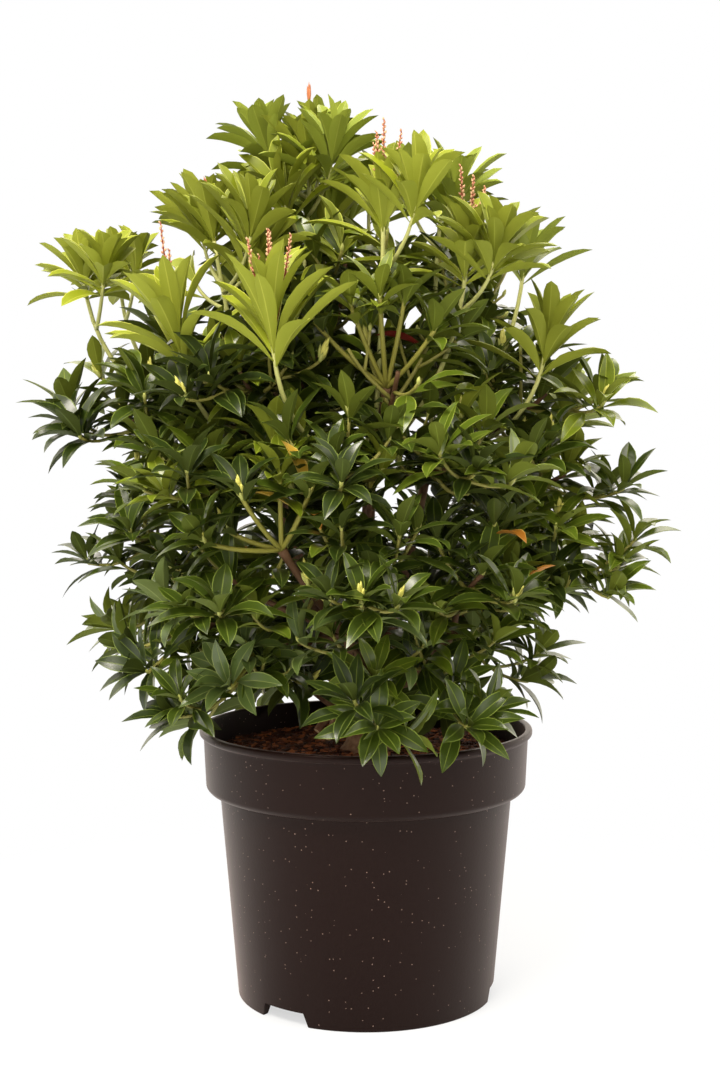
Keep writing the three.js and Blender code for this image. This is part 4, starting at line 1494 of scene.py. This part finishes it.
# A raceme, its buds and the side spike that some have.
RACEME = {
    "length": 80, "share": 0.9, "spread": 12, "rise": 0.25, "radii": (1.1, 0.5), "sunk": 2,
    "buds": 32, "bare": 0.42, "last": 0.98, "bud_length": 5, "bud_width": 0.6,
    "bud_open": (58, 20), "last_size": 0.5, "peach": 0.62, "forked": 0.6, "fork_below": 0.06,
    "fork_open": 34, "fork_bow": 0.2, "fork_rise": 0.55, "fork_length": 0.42, "fork_bare": 0.3,
    "fork_radii": (0.7, 0.6, 0.5, 0.4), "fork_size": 0.85,
}
RACEME_SWAY = {"spread": 5, "length": 0.14, "open": 0.3, "size": 0.25}
RACEME_DRAW = {
    "spread": 0, "length": 1, "fork_turn": 28, "forked": 29, "look": 30, "open": 90, "size": 140,
}
BRACTS = {
    "count": 5, "length": 19, "shorter": 0.08, "radius": 1.3, "open": 5, "stalk": (1.5, 1.5, 1.6),
}
# How high the single, still closed racemes stand above their whorls.
BRACT_HEIGHTS = {"shoot_top": 54, "shoot_upper_left": 36}
RACEME_LOOKS = [stalk_red, bud_peach, bud_copper, bract_red, bud_lime]
STALK_LOOK, PEACH_LOOK, COPPER_LOOK, BRACT_LOOK, LIME_LOOK = range(len(RACEME_LOOKS))
racemes = Collected()


def closed_raceme(mass):
    """A green stalk with a slim bunch of red bracts."""
    aim = mass["aim"]
    foot = mass["end"] - aim * RACEME["sunk"]
    neck = foot + aim * BRACT_HEIGHTS[mass["name"]]
    racemes.add(*tube(Curve(foot, (foot + neck) / 2, neck), BRACTS["stalk"], 6), LIME_LOOK)
    for k in range(BRACTS["count"]):
        along = opened(aim, BRACTS["open"] * (k > 0), GOLDEN_TURN * k)
        length = BRACTS["length"] * (1 - BRACTS["shorter"] * k)
        start = neck - aim * RACEME["sunk"]
        racemes.add(*spindle(start, along, length, BRACTS["radius"]), BRACT_LOOK)


def spike_buds(line, bare, count, scale, keys, s):
    """Flower buds round a spike, closer and smaller towards its tip."""
    for k in range(count):
        share = lerp(bare, RACEME["last"], k / (count - 1))
        open_by = 1 + RACEME_SWAY["open"] * sway(*keys, RACEME_DRAW["open"] + k, s)
        angle = lerp(*RACEME["bud_open"], share) * open_by
        along = opened(line.tangent(share), angle, GOLDEN_TURN * k)
        varied = 1 + RACEME_SWAY["size"] * sway(*keys, RACEME_DRAW["size"] + k, s)
        size = scale * lerp(1, RACEME["last_size"], share) * RACEME["bud_length"] * varied
        radius = RACEME["bud_width"] / 2 * size
        peach = chance(*keys, RACEME_DRAW["look"] + k, s) < RACEME["peach"]
        bud = spindle(line.point(share) + along * 0.8, along, size, radius, 5)
        racemes.add(*bud, PEACH_LOOK if peach else COPPER_LOOK)


def raceme(mass, i):
    """One of a shoot's racemes, some with a fork."""
    keys = (*mass["keys"], FIRST_KEY["raceme"] + i)
    spread = RACEME["spread"] + RACEME_SWAY["spread"] * sway(*keys, RACEME_DRAW["spread"])
    direction = opened(mass["aim"], spread, 360 * i / mass["racemes"])
    varied = RACEME["share"] + RACEME_SWAY["length"] * sway(*keys, RACEME_DRAW["length"])
    length = RACEME["length"] * mass["size"] * varied
    foot = mass["end"] - mass["aim"] * RACEME["sunk"]
    top = foot + between(direction, UP, RACEME["rise"]) * length
    line = Curve(foot, foot + direction * (length / 2), top)
    radii = [lerp(*RACEME["radii"], k / 8) for k in range(9)]
    racemes.add(*tube(line, radii, 6), STALK_LOOK)
    spikes = [(line, RACEME["bare"], RACEME["buds"], 1)]
    if chance(*keys, RACEME_DRAW["forked"]) < RACEME["forked"]:
        fork = line.point(RACEME["bare"] - RACEME["fork_below"])
        turn = 360 * chance(*keys, RACEME_DRAW["fork_turn"])
        aside = opened(line.tangent(0.5), RACEME["fork_open"], turn)
        bow = fork + aside * (RACEME["fork_bow"] * length)
        upwards = between(aside, UP, RACEME["fork_rise"])
        end = fork + upwards * (RACEME["fork_length"] * length)
        side_line = Curve(fork, bow, end)
        racemes.add(*tube(side_line, RACEME["fork_radii"], 5), STALK_LOOK)
        side = (side_line, RACEME["fork_bare"], RACEME["buds"] // 2, RACEME["fork_size"])
        spikes.append(side)
    for s, spike in enumerate(spikes):
        spike_buds(*spike, keys, s)


for mass in masses:
    if mass["racemes"] == 1:
        closed_raceme(mass)
    else:
        for i in range(mass["racemes"]):
            raceme(mass, i)
raceme_nodes = [m["name"] for m in masses if m["racemes"]]
settle(racemes.made("flower_buds", RACEME_LOOKS), raceme_nodes)

# Floor, light and camera.

# The glow keys shape the floor's painted glow, which only the camera sees: the reaches in metres
# from the middle where it starts and stops rising, and its least share near the pot.
FLOOR = {
    "radius": 2600, "thickness": 6, "below": 0.05, "glow_from": 0.22, "glow_to": 0.6,
    "least_glow": 0.62,
}


def floor_material():
    """A pale floor with a painted glow, seen only by the camera and fainter near the pot, that
    blends it into the white backdrop.
    """
    made = material("pale_floor", (0.62, 0.65, 0.70), 0.9, (30, 2, 0.02, 0.001), 0.1)
    tree = made.node_tree
    place = added(tree, "ShaderNodeTexCoord")
    reach = added(tree, "ShaderNodeVectorMath", operation="LENGTH")
    glow_edges = {"From Min": FLOOR["glow_from"], "From Max": FLOOR["glow_to"]}
    share = added(tree, "ShaderNodeMapRange", {**glow_edges, "To Min": FLOOR["least_glow"]})
    share.interpolation_type = "SMOOTHSTEP"
    seen = added(tree, "ShaderNodeLightPath")
    shown = added(tree, "ShaderNodeMath", operation="MULTIPLY")
    glow = added(tree, "ShaderNodeEmission", {"Color": (1, 1, 1, 1)})
    both = added(tree, "ShaderNodeMixShader")
    wire(
        tree,
        (place, "Object", reach, 0),
        (reach, "Value", share, "Value"),
        (share, "Result", shown, 0),
        (seen, "Is Camera Ray", shown, 1),
        (shown, "Value", both, "Fac"),
        (tree.nodes["Principled BSDF"], "BSDF", both, 1),
        (glow, "Emission", both, 2),
        (both, "Shader", tree.nodes["Material Output"], "Surface"),
    )
    return made


floor_foot = (0, -FLOOR["thickness"]), (FLOOR["radius"], -FLOOR["thickness"])
floor_vertices, floor_faces = lathe([*floor_foot, (FLOOR["radius"], 0), (0, 0)], 96)
floor_points = [v - UP * FLOOR["below"] for v in floor_vertices]
floor = piece_of("floor", floor_points, floor_faces, [floor_material()], smooth=False)

WARM = (1, 0.93, 0.82)
STUDIO = {"From Min": -0.5, "From Max": 0.6, "To Min": 0.12, "To Max": 2.3}


def studio():
    """A soft room, brighter behind the plant than in front of it, with a plain white backdrop."""
    world = bpy.data.worlds.new("studio")
    bpy.context.scene.world = world
    world.use_nodes = True
    tree = world.node_tree
    backdrop = tree.nodes["Background"]
    set_inputs(backdrop, {"Color": (1, 1, 1, 1), "Strength": 1.0})
    room = added(tree, "ShaderNodeBackground", {"Color": (*WARM, 1)})
    direction = added(tree, "ShaderNodeTexCoord")
    split = added(tree, "ShaderNodeSeparateXYZ")
    depth = added(tree, "ShaderNodeMapRange", STUDIO)
    seen = added(tree, "ShaderNodeLightPath")
    either = added(tree, "ShaderNodeMixShader")
    wire(
        tree,
        (direction, "Generated", split, "Vector"),
        (split, "Y", depth, "Value"),
        (depth, "Result", room, "Strength"),
        (seen, "Is Camera Ray", either, "Fac"),
        (room, "Background", either, 1),
        (backdrop, "Background", either, 2),
        (either, "Shader", tree.nodes["World Output"], "Surface"),
    )


LIT_POINT = Vector((0, 0, 0.42))


def soft_light(name, place, size, power, glossy=True):
    """An area light that points at the plant's middle."""
    data = bpy.data.lights.new(name, "AREA")
    data.shape = "RECTANGLE"
    data.size, data.size_y = size
    data.energy = power
    data.color = WARM
    light = bpy.data.objects.new(name, data)
    light.location = place
    light.visible_glossy = glossy
    light.rotation_mode = "QUATERNION"
    light.rotation_quaternion = (LIT_POINT - Vector(place)).to_track_quat("-Z", "Y")
    bpy.context.scene.collection.objects.link(light)


studio()
soft_light("key_light", (-0.7, -1.3, 2.1), (1.1, 0.8), 82)
soft_light("fill_light", (1.5, -0.7, 1.6), (1.0, 1.0), 19)
soft_light("back_light", (0.2, 1.2, 2.0), (1.4, 0.9), 16)
soft_light("front_light", (-0.4, -2.0, 0.9), (1.4, 1.2), 32, glossy=False)

CAMERA = {"pitch": 3.577, "lens": 55.217, "sensor": 36}
camera_data = bpy.data.cameras.new("camera")
camera_data.lens = CAMERA["lens"]
camera_data.sensor_width = CAMERA["sensor"]
camera_data.sensor_fit = "AUTO"
camera = bpy.data.objects.new("camera", camera_data)
camera.location = Vector(VIEWPOINT) * MM
camera.rotation_euler = (radians(90 - CAMERA["pitch"]), 0, 0)
bpy.context.scene.collection.objects.link(camera)
bpy.context.scene.camera = camera
bpy.context.scene.view_settings.view_transform = "Standard"
bpy.context.scene.view_settings.look = "None"
